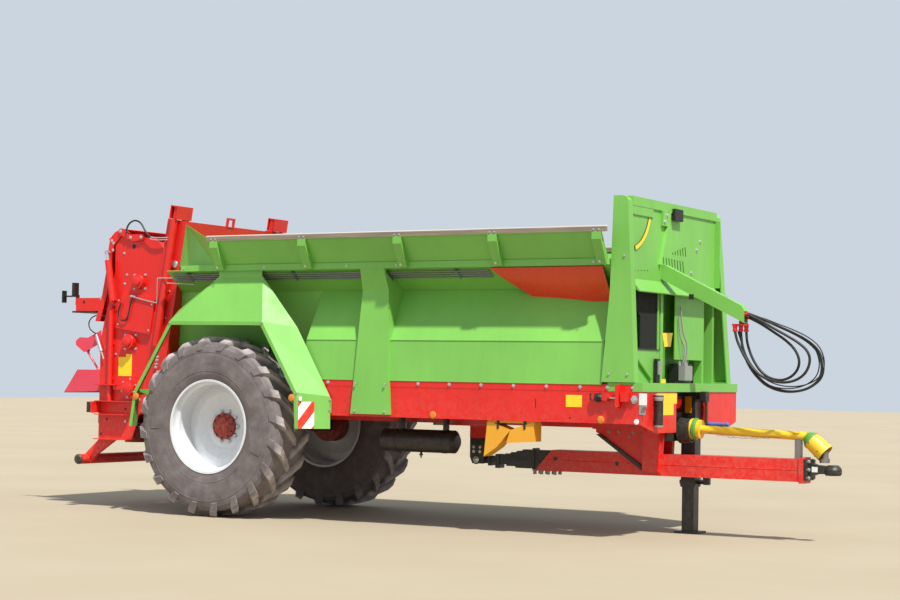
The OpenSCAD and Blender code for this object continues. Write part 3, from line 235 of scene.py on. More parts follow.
def metal(name, code, rough, amount=0.3):
    """Bare or zinc-plated steel with fine grain."""
    n = Nodes(name)
    colour, dust = grime(n, rgb(code), amount)
    grain = n.noise(60, 6, n.scaled(1, 1, 6))
    patch = n.span(grain, 0.3, 0.7, rough - 0.1, rough + 0.12)
    n.set(Base_Color=colour, Metallic=0.85, Roughness=n.math("ADD", patch, n.math("MULTIPLY", dust, 0.4)))
    n.bump(grain, 0.1, 0.0008)
    return n.material


def plastic(name, code, rough, amount=0.25, grain=90):
    """Moulded plastic or lacquered casting with a fine texture."""
    n = Nodes(name)
    colour, dust = grime(n, rgb(code), amount)
    patch = n.span(n.noise(8, 4), 0.3, 0.7, rough - 0.05, rough + 0.08)
    n.set(Base_Color=colour, Roughness=n.math("ADD", patch, n.math("MULTIPLY", dust, 0.3)))
    n.bump(n.noise(grain, 3), 0.15, 0.0008)
    return n.material


def lens(name, code):
    """Ribbed coloured lamp lens or reflector."""
    n = Nodes(name)
    cells = n.tree.nodes.new("ShaderNodeTexVoronoi")
    cells.inputs["Scale"].default_value = 110
    n.link(n.place, cells.inputs["Vector"])
    base = rgb(code)
    n.set(Base_Color=n.mix(n.span(cells.outputs["Distance"], 0, 0.6), shade(base, 1.15), shade(base, 0.6)),
          Roughness=0.12, Coat_Weight=0.8, Coat_Roughness=0.05)
    n.bump(cells.outputs["Distance"], 0.5, 0.001)
    return n.material


def rubber(name, side):
    """Dusty tyre: mud in the valleys of the tread, smooth rings and fine radial ribs on the wall."""
    n = Nodes(name)
    centre = n.tree.nodes.new("ShaderNodeVectorMath")
    centre.operation = "SUBTRACT"
    n.link(n.place, centre.inputs[0])
    centre.inputs[1].default_value = (AXLE_X / 1000, side * WHEEL_Y / 1000, WHEEL_R / 1000)
    x, _, z = n.split(centre.outputs[0])
    radius = n.math("SQRT", n.math("ADD", n.math("MULTIPLY", x, x), n.math("MULTIPLY", z, z)))
    angle = n.math("ARCTAN2", z, x)
    cloud = n.span(n.noise(5, 7, rough=0.65), 0.3, 0.7)
    base = n.mix(cloud, rgb("5a5153"), rgb("827b7c"))
    ribs = n.math("SINE", n.math("MULTIPLY", angle, 300))
    base = n.mix(n.span(radius, *WALL_FOOT, 0.0, 0.35), base, rgb("3d3733"))
    mud = n.math("MULTIPLY", n.span(radius, *VALLEYS, 0.55, 0.0), n.span(n.noise(12, 6), 0.35, 0.65))
    base = n.mix(mud, base, rgb("64594f"))
    worn = n.math("MULTIPLY", n.span(radius, *LUG_TOPS, 0.0, 0.85), n.span(n.noise(9, 5), 0.25, 0.55))
    base = n.mix(worn, base, rgb("b2a8a4"))
    n.set(Base_Color=base, Roughness=n.span(n.noise(14, 5), 0.3, 0.7, 0.72, 0.9), Specular_IOR_Level=0.3)
    zone = n.math("MULTIPLY", n.span(radius, *RIBS_BEGIN), n.span(radius, *RIBS_END))
    n.bump(n.math("MULTIPLY", ribs, zone), 0.25, 0.002)
    n.bump(n.noise(70, 6, rough=0.7), 0.35, 0.002)
    return n.material


def timber(name):
    """Weathered planks, long grain along the machine, with a painted highlight on their top edge."""
    n = Nodes(name)
    grain = n.noise(3, 9, n.scaled(0.6, 26, 26), rough=0.7)
    fine = n.noise(9, 6, n.scaled(1.5, 60, 60))
    base = n.mix(n.span(grain, 0.3, 0.7), rgb("6b5e50"), rgb("968a79"))
    base = n.mix(n.span(fine, 0.52, 0.7, 0.0, 0.5), base, rgb("6c5f50"))
    # Painted highlight: the planks' top faces painted near white, as if lit from above
    base = n.mix(n.span(n.split()[2], *PLANK_LIT_TOP, 0.0, 0.85), base, rgb("f2ede2"))
    n.set(Base_Color=base, Roughness=0.8)
    n.bump(grain, 0.5, 0.003)
    n.bump(fine, 0.3, 0.001)
    return n.material


def striped(name, code_a, code_b):
    """Warning board: slanting bands of two colours, drawn across the sheet's own height and width."""
    n = Nodes(name)
    x, y, z = n.split()
    slant = n.math("SUBTRACT", n.math("ADD", x, y), z)
    band = n.math("GREATER_THAN", n.math("FRACT", n.math("MULTIPLY", slant, 3.6)), 0.5)
    colour = n.mix(band, rgb(code_a), rgb(code_b))
    n.set(Base_Color=n.mix(n.span(n.noise(20, 5), 0.5, 0.8, 0.0, 0.3), colour, DUST), Roughness=0.35)
    n.bump(n.noise(400, 2), 0.1, 0.0005)
    return n.material


GREEN = paint("green_paint", "70b04a", rough=0.46, amount=0.22, coat=0.08)
RED = paint("red_paint", "d4160e", rough=0.4, amount=0.3, coat=0.12)
DARK_RED = paint("dark_red_paint", "96180f", rough=0.5, amount=0.7, coat=0.0)
HOOD_RED = paint("hood_red_paint", "d83850", rough=0.4, amount=0.35)
RIM = paint("rim_lacquer", "d3d6da", rough=0.3, amount=0.35, coat=0.3)
BLACK = plastic("black_lacquer", "231f1d", rough=0.42, amount=0.12)
# Black plastic for lamps, caps, boots and guard ribs, and also painted shade for holes and slots drawn as
# black patches
BLACK_PLASTIC_AND_SHADE = plastic("black_plastic_and_shade", "161515", rough=0.5, amount=0.25)
STEEL = metal("plain_steel", "8d8a86", rough=0.42)
ZINC = metal("zinc_plate", "c9cbce", rough=0.32, amount=0.2)
PIPE = metal("dull_pipe", "86888a", rough=0.5, amount=0.3)
BROWN_STEEL = metal("browned_steel", "6a5848", rough=0.5)
CHAIN_STEEL = metal("chain_steel", "5d544b", rough=0.55, amount=0.6)
YELLOW = plastic("yellow_guard", "e6b820", rough=0.38, amount=0.22)
GREEN_RING = plastic("green_ring", "4f8f2a", rough=0.4)
CHOCK = plastic("chock_yellow", "dc9a16", rough=0.45, amount=0.35)
BLUE = plastic("blue_grip", "3f66b4", rough=0.5)
GREY = plastic("grey_fitting", "8e8d8a", rough=0.5)
# Near-black matt look used only as painted shade, in the front bay's opening
SHADE_BLACK = plastic("painted_shade_black", "070708", rough=0.9, amount=0.02)
HOSE = plastic("hose_rubber", "1e1d1d", rough=0.5, amount=0.15, grain=200)
PLANK = timber("weathered_plank")
WHITE = plastic("white_plate", "e4e6e4", rough=0.35, amount=0.15)
SIGN_YELLOW = plastic("yellow_plate", "f0cc1c", rough=0.35, amount=0.12)
BANNER = paint("banner_red", "d8301c", rough=0.25, amount=0.12)
AMBER = lens("amber_lens", "f08a10")
RED_LENS = lens("red_lens", "c01010")
CLEAR_LENS = lens("clear_lens", "e4e8e8")
STRIPES = striped("warning_stripes", "e8301c", "f2f2ee")
TYRE = {"tyre_right": rubber("tyre_rubber_right", RIGHT), "tyre_left": rubber("tyre_rubber_left", LEFT)}

NODE_LOOKS = (
    (GREEN, ("hopper_floor", "hopper_side_right", "hopper_side_left", "flare_ribs", "side_skins",
             "hopper_posts", "front_wall", "front_sill", "headboard", "fender_right", "fender_left",
             "hose_beam")),
    (RED, ("chassis_frame", "side_skirts", "drawbar", "drawbar_brackets", "hose_sockets", "rear_towers",
           "gate", "cylinder_barrels", "side_panel_right", "side_panel_left", "underrun_bar",
           "spreading_flap")),
    (DARK_RED, ("hub_right", "hub_left", "rear_gearbox", "beater_upper", "beater_lower", "disc_beam",
                "disc_right", "disc_left")),
    (BLACK, ("axle", "drawbar_spring", "hitch_coupling", "jack_tube", "jack_leg", "front_gearbox",
             "air_tank")),
    (BLACK_PLASTIC_AND_SHADE, ("tail_lamps", "flap_lamps", "front_fittings")),
    (HOSE, ("hose_a", "hose_b", "hose_c")),
    (RIM, ("rim_right", "rim_left")),
    (HOOD_RED, ("rear_hood",)),
    (BROWN_STEEL, ("jack_crank",)),
    (STEEL, ("pto_yoke",)),
    (ZINC, ("flap_rods",)),
    (PIPE, ("hydraulic_lines",)),
    (CHAIN_STEEL, ("floor_chain",)),
    (YELLOW, ("pto_shaft",)),
    (CHOCK, ("wheel_chocks",)),
    (PLANK, ("top_planks",)),
    (TYRE["tyre_right"], ("tyre_right",)),
    (TYRE["tyre_left"], ("tyre_left",)))
for node_look, node_names in NODE_LOOKS:
    for node_name in node_names:
        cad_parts[node_name].data.materials.clear()
        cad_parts[node_name].data.materials.append(node_look)


class Shape:
    """Plates, rods, bolts, tubes and turned forms that make one piece's mesh."""

    def __init__(self):
        self.bm = bmesh.new()

    def face_loop(self, rings):
        """Skin over rings of points that have the same number of points, closed at both ends."""
        rows = [[self.bm.verts.new(p) for p in ring] for ring in rings]
        for a, b in zip(rows, rows[1:]):
            for i in range(len(a)):
                j = (i + 1) % len(a)
                self.bm.faces.new((a[i], a[j], b[j], b[i]))
        self.bm.faces.new(rows[0][::-1])
        self.bm.faces.new(rows[-1])

    def prism(self, points, axis, span):
        """A plate: outline in the plane across the axis, drawn between two places on it."""
        put = {"x": lambda a, b, at: (at, a, b), "y": lambda a, b, at: (a, at, b),
               "z": lambda a, b, at: (a, b, at)}
        self.face_loop([[put[axis](a, b, at) for a, b in points] for at in span])

    def tile(self, x, y, z, edge):
        """A block whose outer edges are chamfered, as a pressed plate or moulded box has them."""
        made = bmesh.new()
        bmesh.ops.create_cube(made, size=1)
        size = [b[1] - b[0] for b in (x, y, z)]
        middle = [(b[1] + b[0]) / 2 for b in (x, y, z)]
        for v in made.verts:
            v.co = Vector([m + s * c for m, s, c in zip(middle, size, v.co)])
        offset = min(edge, min(size) / 2.5)
        bmesh.ops.bevel(made, geom=made.edges[:], offset=offset, segments=2, affect="EDGES")
        mesh = bpy.data.meshes.new("scratch")
        made.to_mesh(mesh)
        made.free()
        self.bm.from_mesh(mesh)
        bpy.data.meshes.remove(mesh)

    def lathe(self, profile, origin, axis, sides):
        """Turned form: profile of (distance along the axis, radius)."""
        axis = Vector(axis).normalized()
        u = axis.orthogonal().normalized()
        v = axis.cross(u)
        rings = [[Vector(origin) + axis * h + r * (math.cos(t) * u + math.sin(t) * v)
                  for t in (2 * math.pi * k / sides for k in range(sides))] for h, r in profile]
        self.face_loop(rings)

    def rod(self, a, b, r, sides=12):
        """Round bar from point to point."""
        way = Vector(b) - Vector(a)
        self.lathe([(0, r), (way.length, r)], a, way, sides)

    def bolt(self, place, axis, r, h):
        """Washer and six-sided head with a rounded crown."""
        self.lathe([(-0.5, r * 1.35), (2.5, r * 1.35)], place, axis, 14)
        profile = [(2.5, r), (h, r), (h + r * 0.18, r * 0.8), (h + r * 0.22, r * 0.3)]
        self.lathe(profile, place, axis, 6)

    def side_bolts(self, side, y, spots, r, h):
        """Bolts on a side face: spots are places along and up, y is the face's distance from the middle."""
        for x, z in spots:
            self.bolt((x, side * y, z), (0, side, 0), r, h)

    def dome(self, place, axis, r, h):
        """Round lens or button with a rim."""
        profile = [(0, r), (h * 0.4, r), (h * 0.7, r * 0.9), (h * 0.9, r * 0.62), (h, r * 0.2)]
        self.lathe(profile, place, axis, 24)

    def tube(self, points, r, sides, smooth=0):
        """Pipe along a path, its frame carried from point to point. Smooth adds points on a rounded route."""
        path = [Vector(p) for p in points]
        if smooth:
            path = rounded(path, smooth)
        normal = (path[1] - path[0]).orthogonal().normalized()
        rings = []
        for i, p in enumerate(path):
            along = (path[min(i + 1, len(path) - 1)] - path[max(i - 1, 0)]).normalized()
            normal = (normal - along * normal.dot(along)).normalized()
            side = along.cross(normal)
            rings.append([p + r * (math.cos(t) * normal + math.sin(t) * side)
                          for t in (2 * math.pi * k / sides for k in range(sides))])
        self.face_loop(rings)

    def done(self, name, look, body="chassis"):
        """Turns the mesh into a piece with one look, on one body."""
        bmesh.ops.recalc_face_normals(self.bm, faces=self.bm.faces)
        self.bm.transform(TO_ROW)
        mesh = bpy.data.meshes.new(name)
        self.bm.to_mesh(mesh)
        self.bm.free()
        mesh.materials.append(look)
        piece = bpy.data.objects.new(name, mesh)
        bpy.context.scene.collection.objects.link(piece)
        mesh.shade_smooth()
        mesh.set_sharp_from_angle(angle=math.radians(SHARP_ANGLE))
        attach(piece, body)


def rounded(path, steps):
    """Points of a smooth curve through the path."""
    made = []
    last = len(path) - 1
    for i in range(last):
        before, a, b, after = path[max(i - 1, 0)], path[i], path[i + 1], path[min(i + 2, last)]
        for k in range(steps):
            t = k / steps
            made.append(0.5 * (2 * a + (b - before) * t + (2 * before - 5 * a + 4 * b - after) * t ** 2
                               + (3 * a - before - 3 * b + after) * t ** 3))
    return made + [path[-1]]


add_camera()

# Floor, backdrop colour and soft light
bpy.ops.mesh.primitive_plane_add(size=120, location=(0, 20, 0))
floor = bpy.context.object
floor.name = "floor"
floor_look = Nodes("floor_look")
floor_look.set(Base_Color=floor_look.mix(floor_look.span(floor_look.noise(0.4, 3), 0.3, 0.7),
                                          rgb("9c8f78"), rgb("a1957f")), Roughness=0.9)
floor.data.materials.append(floor_look.material)
world = bpy.data.worlds.new("studio")
world.use_nodes = True
world.node_tree.nodes["Background"].inputs["Color"].default_value = rgb("e8f3ff")
world.node_tree.nodes["Background"].inputs["Strength"].default_value = SKY_STRENGTH
bpy.context.scene.world = world
bpy.context.scene.view_settings.view_transform = "Standard"
add_sun("key", KEY_WAY, 5.9, 2, (1.0, 0.98, 0.94))
add_sun("fill", FILL_WAY, 0.25, 60, (0.92, 0.96, 1.0))

# Side skirts: bolts, lapped top edge, tensioner, reflectors and bare plates
LAP_BOLT_X = [1411 + 367 * k for k in range(9)] + [4640, 4770, 4905]
TENSIONER_Z = 1372
bolts = Shape()
laps = Shape()
darks = Shape()
for side in SIDES:
    bolts.side_bolts(side, SKIRT_Y + 3, [(x, 1471) for x in LAP_BOLT_X], 14, 11)
    laps.tile((1252, 4644), across(side, SKIRT_Y - 1, SKIRT_Y + 3), (1432, 1500), 1.5)
    laps.prism([(4770, 1500), (4905, 1500), (4905, 1330), (4800, 1275), (4765, 1330)], "y",
               across(side, SKIRT_Y, SKIRT_Y + 8))
    laps.tile((4800, 4880), across(side, SKIRT_Y + 8, SKIRT_Y + 62), (1335, 1425), 4)
    laps.prism([(4760, 1500), (4792, 1500), (4792, 1290), (4776, 1275), (4760, 1300)], "y",
               across(side, SKIRT_Y + 8, SKIRT_Y + 90))
    bolts.side_bolts(side, SKIRT_Y + 5, [(4921, 1361)], 30, 18)
    bolts.rod((4650, side * (SKIRT_Y + 32), TENSIONER_Z), (4800, side * (SKIRT_Y + 32), TENSIONER_Z), 10)
    # The slot and the small hole are black patches of painted shade; the boots are black rubber
    darks.tile((4450, 4665), across(side, SKIRT_Y - 2, SKIRT_Y + 1), (1345, 1412), 1)
    darks.lathe([(0, 30), (8, 36), (16, 30), (24, 36), (32, 30), (40, 36), (48, 30), (62, 22), (110, 20)],
                (4545, side * (SKIRT_Y + 25), TENSIONER_Z), (1, 0, 0), 16)
    darks.lathe([(0, 34), (6, 40), (30, 40), (36, 32), (44, 38), (56, 24)],
                (4524, side * (SKIRT_Y + 25), TENSIONER_Z), (1, 0, 0), 16)
    darks.tile((3856, 3866), across(side, SKIRT_Y - 0.5, SKIRT_Y + 1), (1262, 1346), 0.5)
    darks.lathe([(0, 9), (1.2, 9)], (4241, side * SKIRT_Y, 1168), (0, side, 0), 16)
bolts.done("skirt_bolts", ZINC)
laps.done("skirt_laps_and_brackets", RED)
darks.done("tensioner_boots_and_slots", BLACK_PLASTIC_AND_SHADE)

plates = Shape()
for side in SIDES:
    plates.tile((4194, 4368), across(side, SKIRT_Y, SKIRT_Y + 2), (1275, 1392), 1)
plates.tile((BOX_X, BOX_X + 3.5), (-857, -363), (1318, 1425), 1)
plates.tile((BOX_X, BOX_X + 3.5), (-690, -444), (1208, 1317), 1)
plates.done("bare_yellow_plates", SIGN_YELLOW)
whites = Shape()
whites.tile((4974, 5056), (-SKIRT_Y - 6, -SKIRT_Y), (1308, 1420), 1)
whites.lathe([(0, 27), (5, 26), (7, 20)], (4949, -SKIRT_Y, 1148), (0, -1, 0), 20)
whites.tile((1194, 1232), (-FENDER_Y - 4, -FENDER_Y + 6), (1272, 1318), 2)
whites.done("white_plate_and_reflectors", WHITE)
greys = Shape()
greys.tile((4976, 5044), (-SKIRT_Y - 5, -SKIRT_Y), (1216, 1306), 1)
greys.tile((5020, 5062), (-SKIRT_Y - 26, -SKIRT_Y - 6), (1288, 1304), 4)
greys.done("grey_plate_and_latch", GREY)

# Side reflectors: places along, out and up
REFLECTORS = ((4572, SKIRT_Y, 1159), (2692, SKIRT_Y, 1158), (1102, FENDER_Y, 1301), (-969, FENDER_Y, 1276))
reflectors = Shape()
for side in SIDES:
    for x, y, z in REFLECTORS:
        reflectors.dome((x, side * y, z), (0, side, 0), 38, 12)
reflectors.done("side_reflectors", AMBER)

# Fenders: warning boards, and the bolts at the corners and the stays, as places along and up
FENDER_CORNERS = ((1165, 1352), (706, 2086), (-528, 2086), (-1006, 1322))
STAY_BOLTS = ((1456, 1290), (1450, 1180))
boards = Shape()
fender_bolts = Shape()
for side in SIDES:
    outward = Vector((200, side * 276, 0)).normalized()
    corners = [(1190, side * (FENDER_Y - 1)), (1325, side * (FENDER_Y - 99))]
    front = [(x + outward.x * 5, y + outward.y * 5) for x, y in corners]
    back = [(x + outward.x * 2, y + outward.y * 2) for x, y in corners[::-1]]
    boards.prism(front + back, "z", (984, 1262))
    fender_bolts.side_bolts(side, FENDER_Y + 1, FENDER_CORNERS, 9, 7)
    fender_bolts.side_bolts(side, SKIRT_Y + 24, STAY_BOLTS, 11, 9)
boards.done("warning_boards", STRIPES)
fender_bolts.done("fender_bolts", ZINC)

# Wheels: studs' nuts on washers, hub bolts and the hub's cover
STUD_COUNT = 10
STUD_CIRCLE_R = 167.5
HUB_BOLT_CIRCLE_R = 125
RIM_FACE = WHEEL_Y - 40
HUB_FACE = WHEEL_Y + 6
for body, side in (("wheel_right", RIGHT), ("wheel_left", LEFT)):
    out = (0, side, 0)
    nuts = Shape()
    cover = Shape()
    hub_bolts = Shape()
    for k in range(STUD_COUNT):
        t = math.radians(36 * k)
        x, z = STUD_CIRCLE_R * math.cos(t), WHEEL_R + STUD_CIRCLE_R * math.sin(t)
        nuts.bolt((x, side * RIM_FACE, z), out, 21, 17)
        nuts.rod((x, side * (RIM_FACE + 17), z), (x, side * (RIM_FACE + 27), z), 12)
        t = math.radians(36 * k + 12)
        x, z = HUB_BOLT_CIRCLE_R * math.cos(t), WHEEL_R + HUB_BOLT_CIRCLE_R * math.sin(t)
        hub_bolts.bolt((x, side * HUB_FACE, z), out, 9, 8)
    cover.lathe([(0, 94), (6, 92), (11, 80), (13, 40)], (0, side * (HUB_FACE + 24), WHEEL_R), out, 32)
    nuts.done(f"{body}_nuts", ZINC, body)
    cover.done(f"{body}_hub_cover", DARK_RED, body)
    hub_bolts.done(f"{body}_hub_bolts", BLACK, body)

# Drawbar: weld seam, hole rims, bolts, the spring's upper leaves and clamps, its hanger's pins, and black
# strips of painted shade along the gussets' edges
DRAWBAR_Z = 700
SPRING_EYE = (2568, 672)
HANGER_Y = 74
LEAF_PITCH = 16.5
# Clamps round the leaves: span along, half width, span up
CLAMPS = (((2790, 2842), 60, (590, 738)), ((2700, 2730), 58, (612, 716)), ((3232, 3262), 60, (588, 815)))
drawbar_seams = Shape()
drawbar_bolts = Shape()
spring_pins = Shape()
gusset_shade_strips = Shape()
leaves = Shape()
for k in range(7):
    leaves.tile((2690 + 70 * k, 3430), (-50, 50), (681.5 + LEAF_PITCH * k, 697 + LEAF_PITCH * k), 2)
for span_x, half, span_z in CLAMPS:
    leaves.tile(span_x, (-half, half), span_z, 4)
drawbar_holes = Shape()
for side in SIDES:
    drawbar_seams.rod((3440, side * DRAWBAR_Y, DRAWBAR_Z), (6170, side * DRAWBAR_Y, DRAWBAR_Z), 3.5, 8)
    for x, z in ((3530, 716), (4235, 690)):
        drawbar_seams.lathe([(-1, 30), (3, 29), (4, 25)], (x, side * DRAWBAR_Y, z), (0, side, 0), 24)
        # Black discs in the drawbar's holes: painted shade of the openings
        drawbar_holes.lathe([(0, 22), (4.6, 22)], (x, side * DRAWBAR_Y, z), (0, side, 0), 20)
    for k in range(3):
        drawbar_bolts.bolt((6254, side * 76, 625 + 80 * k), (1, 0, 0), 17, 22)
    for k in range(4):
        drawbar_bolts.rod((3268 + 78 * k, side * 60, 586), (3268 + 78 * k, side * 60, 545), 19, 12)
        drawbar_bolts.rod((3268 + 78 * k, side * 60, 586), (3268 + 78 * k, side * 60, 578), 27, 12)
    drawbar_bolts.side_bolts(side, 123, ((4150, 1016), (4260, 1016), (4420, 1016), (4380, 973), (4520, 978),
                                         (4600, 988)), 13, 10)
    spring_pins.side_bolts(side, HANGER_Y, ((2537, 806), (2612, 806), (2537, 758), (2612, 758)), 13, 5)
    eye = (SPRING_EYE[0], side * HANGER_Y, SPRING_EYE[1])
    spring_pins.lathe([(0, 34), (8, 34), (10, 25), (4, 22), (10, 16), (12, 8)], eye, (0, side, 0), 28)
    leaves.lathe([(0, 50), (4, 50)], eye, (0, side, 0), 28)
    # Black strip along each gusset's diagonal flange: painted shade where that flange's face lies in shadow
    gusset_shade_strips.prism([(4012, 987), (4060, 987), (4560, 662), (4556, 616)], "y", across(side, 121.5, 150))
drawbar_seams.done("drawbar_seams", RED)
drawbar_bolts.done("drawbar_bolts", GREY)
spring_pins.done("spring_hanger_pins", ZINC)
leaves.done("upper_leaves_and_clamps", BLACK)
gusset_shade_strips.done("gusset_shade_strips", BLACK)
drawbar_holes.done("drawbar_holes", BLACK_PLASTIC_AND_SHADE)
tag = Shape()
tag.tile((6285, 6345), (-47, -45), (683, 735), 1)
tag.done("coupling_plate", WHITE)

# Drive shaft: bell, green rings, the guard's ribs and the yoke bell's holes
YOKE_AT = (6222, 0, 1026)
YOKE_WAY = (0.755, 0, -0.656)
YOKE_UP = (0.656, 0, 0.755)
bell = Shape()
bell.lathe([(0, 84), (6, 102), (24, 106), (32, 100)], (5000, 0, 1067), (1, 0, -0.04), 32)
bell.done("shaft_bell", YELLOW)
green_rings = Shape()
green_rings.lathe([(0, 98), (8, 112), (34, 110), (56, 88), (70, 60), (74, 44)],
                  (5033, 0, 1066), (1, 0, -0.037), 32)
guard_ribs = Shape()
for k in range(7):
    guard_ribs.lathe([(0, 125 - 1.5 * k), (3, 130 - 1.5 * k), (8, 130 - 1.5 * k), (11, 125 - 1.5 * k)],
                     (4894 + 16 * k, 0, 1045), (1, 0, 0), 40)
guard_ribs.done("shaft_guard_ribs", BLACK_PLASTIC_AND_SHADE)
green_rings.lathe([(-10, 44), (0, 56), (34, 80), (50, 89), (60, 89.5), (61, 80)], YOKE_AT, YOKE_WAY, 32)
green_rings.done("shaft_green_rings", GREEN_RING)
# Two rows of holes round the yoke's bell: way along it from YOKE_AT and the bell's radius there
HOLE_ROWS = ((70, 87), (190, 92))
# The holes are black discs of painted shade
bell_holes = Shape()
for angle in (100, 160, 220, 280, 340, 40):
    t = math.radians(angle)
    out = Vector(YOKE_UP) * math.cos(t) + Vector((0, -1, 0)) * math.sin(t)
    for h, r in HOLE_ROWS:
        bell_holes.lathe([(-2, 6), (2, 6), (3, 4)], Vector(YOKE_AT) + Vector(YOKE_WAY) * h + out * r, out, 10)
bell_holes.done("bell_holes", BLACK_PLASTIC_AND_SHADE)

# Parking jack: collar, lock pin with its chain, amber strip, gearbox and crank grip
JACK_Y = 270
# Boxes of the jack: span along, half width, span up, edge
JACK_BOXES = (((4804, 4966), 81, (468, 528), 6), ((4966, 5030), 20, (500, 524), 4),
              ((5030, 5096), 32, (494, 586), 6), ((4800, 4990), 85, (1390, 1490), 10),
              ((4990, 5062), 55, (1330, 1440), 10))
jack = Shape()
for span_x, half, span_z, edge in JACK_BOXES:
    jack.tile(span_x, (JACK_Y - half, JACK_Y + half), span_z, edge)
jack.done("jack_fittings", BLACK)
strip = Shape()
strip.tile((4850, 4922), (189, 194.5), (1220, 1388), 1.5)
strip.done("jack_amber_strip", AMBER)
grip = Shape()
grip.lathe([(0, 19), (6, 22), (30, 20), (190, 20), (214, 23), (222, 18)], (5074, JACK_Y, 1110), (1, 0, 0), 20)
grip.done("crank_grip", BLUE)
pin_chain = Shape()
for k in range(9):
    middle = (4972 + 4.5 * k, 222 + 5 * k, 668 - 16 * k)
    wide_x, wide_y = (0, 6) if k % 2 else (6, 0)
    pin_chain.tube([(middle[0] + wide_x * math.cos(t), middle[1] + wide_y * math.cos(t),
                     middle[2] + 11 * math.sin(t)) for t in LINK_TURNS], 1.8, 6)
pin_chain.done("jack_pin_chain", STEEL)

# Banner plate on the tub, bare, on both sides
BANNER_OUTLINE = [(3315, 2645), (3400, 2540), (3592, 2400), (3700, 2340), (4560, 2236), (4566, 2645)]
WAIST_Y = 868
WAIST_Z = 2440


def wall_y(z):
    """Half width of the tub's outer face at a height: upright up to the waist, sloping outward above it."""
    return WAIST_Y + (z - WAIST_Z) / 220 * 336 if z > WAIST_Z else WAIST_Y


banner = Shape()
for side in SIDES:
    top = [Vector((x, side * (wall_y(z) + 12), z)) for x, z in BANNER_OUTLINE]
    banner.face_loop([top, [p + Vector((0, side * 4, -3)) for p in top]])
banner.done("banner_plates", BANNER)

# Rear unit: bearings, bolts, pins, box covers' bolts and the side drive's rings
LEAN = math.radians(9.2)
BEATER_AXES = ((-1331, 2560), (-1447, 1880))
SIDE_DRIVE = (-1410, 1358)


def lean_x(z, off):
    """Place along of a point at height z, set off by off from the leaning towers' front line."""
    return -1083 + (z - 1510) * math.tan(LEAN) + off / math.cos(LEAN)


unit_bolts = Shape()
bearings = Shape()
openings = Shape()
for side in SIDES:
    out = (0, side, 0)
    unit_bolts.side_bolts(side, REAR_SIDE_Y, ((-1523, 2643), (-1552, 2541), (-1569, 2888), (-1660, 1740),
                                              (-1300, 1230), (-1500, 980)), 12, 9)
    unit_bolts.side_bolts(side, REAR_SIDE_Y + 30, ((-1606, 3136), (-1458, 3064), (-1308, 3064)), 15, 12)
    unit_bolts.side_bolts(side, REAR_SIDE_Y + 45, ((-1595, 2350), (-1120, 2300), (-1160, 2010),
                                                   (-1600, 2080)), 9, 7)
    for x, z in BEATER_AXES:
        bearings.lathe([(0, 82), (6, 84), (12, 80), (16, 58), (34, 54), (40, 46), (42, 18)],
                       (x, side * (REAR_SIDE_Y + 52), z), out, 32)
        for turn in (45, 135, 225, 315):
            t = math.radians(turn)
            unit_bolts.side_bolts(side, REAR_SIDE_Y, [(x + 108 * math.cos(t), z + 108 * math.sin(t))], 12, 16)
    # Black discs of painted shade stand in for the side panel's holes
    openings.lathe([(0, 27), (1.6, 27)], (-1429, side * REAR_SIDE_Y, 2962), out, 20)
    for x, z in ((-1770, 1000), (-1500, 1120), (-1850, 830)):
        openings.lathe([(0, 15), (1.2, 15)], (x, side * REAR_SIDE_Y, z), out, 16)
    for k in range(6):
        z = 1250 + 300 * k
        unit_bolts.bolt((lean_x(z, 40), side * 980, z), out, 10, 8)
x, z = SIDE_DRIVE
bearings.lathe([(0, 66), (8, 62), (14, 40), (20, 18)], (x, -1052, z), (0, -1, 0), 32)
for k in range(6):
    t = math.radians(60 * k + 20)
    unit_bolts.bolt((x + 104 * math.cos(t), -1018, z + 104 * math.sin(t)), (0, -1, 0), 9, 8)
unit_bolts.done("rear_unit_bolts", ZINC)
bearings.done("bearing_caps", RED)
openings.done("rear_unit_holes", BLACK_PLASTIC_AND_SHADE)

# Flap: bolts at its top pins, the rods' pins and a hole in each side plate
flap_pins = Shape()
flap_holes = Shape()
for side in SIDES:
    flap_pins.side_bolts(side, 974, ((-1742, 3034), (-1716, 3005), (-1721, 2925)), 13, 4)
    flap_pins.lathe([(0, 22), (7, 22), (9, 16)], (-1905, side * 935, 2374), (0, side, 0), 16)
    # The hole is a black disc of painted shade
    flap_holes.lathe([(0, 17), (1.2, 17)], (-2164, side * 940, 2336), (0, side, 0), 16)
flap_pins.done("flap_pins", ZINC, "flap")
flap_holes.done("flap_holes", BLACK_PLASTIC_AND_SHADE, "flap")

# Pipes along the towers and the rear unit
pipes = Shape()
pipes.tube([(-1160, -1002, 3062), (-1060, -1006, 3050), (-900, -1000, 3050)], 7, 8, 3)
pipes.tube([(-1164, -1002, 3040), (-1060, -1008, 3026), (-905, -1000, 3026)], 7, 8, 3)
pipes.tube([(-1380, -1012, 2387), (-1080, -1014, 2326), (-1040, -1012, 2345), (-985, -1075, 2560),
            (-950, -1078, 2592), (-690, -1070, 2586), (-560, -1010, 2584)], 7, 8, 4)
pipes.tube([(-850, -1076, 2536), (-700, -1072, 2530), (-520, -1000, 2524)], 7, 8, 3)
pipes.tube([(-1923, -985, 1945), (-1812, -985, 1684)], 8, 10)
for a, b, r in (((-1415, -1014, 2398), (-1350, -1014, 2384), 14),
                ((-1930, -985, 1960), (-1900, -985, 1890), 17),
                ((-1910, -985, 1910), (-1850, -985, 1770), 22)):
    pipes.rod(a, b, r, 12)
for z in (1711, 1677, 1632, 1598):
    pipes.lathe([(0, 16), (14, 16), (16, 11), (30, 11), (32, 6)], (lean_x(z, 20), -980, z), (0, -1, 0), 12)
pipes.lathe([(0, 40), (5, 42), (12, 38), (16, 24)], (lean_x(2748, 60), -980, 2748), (0, -1, 0), 24)
pipes.done("rear_pipes_and_pins", ZINC)

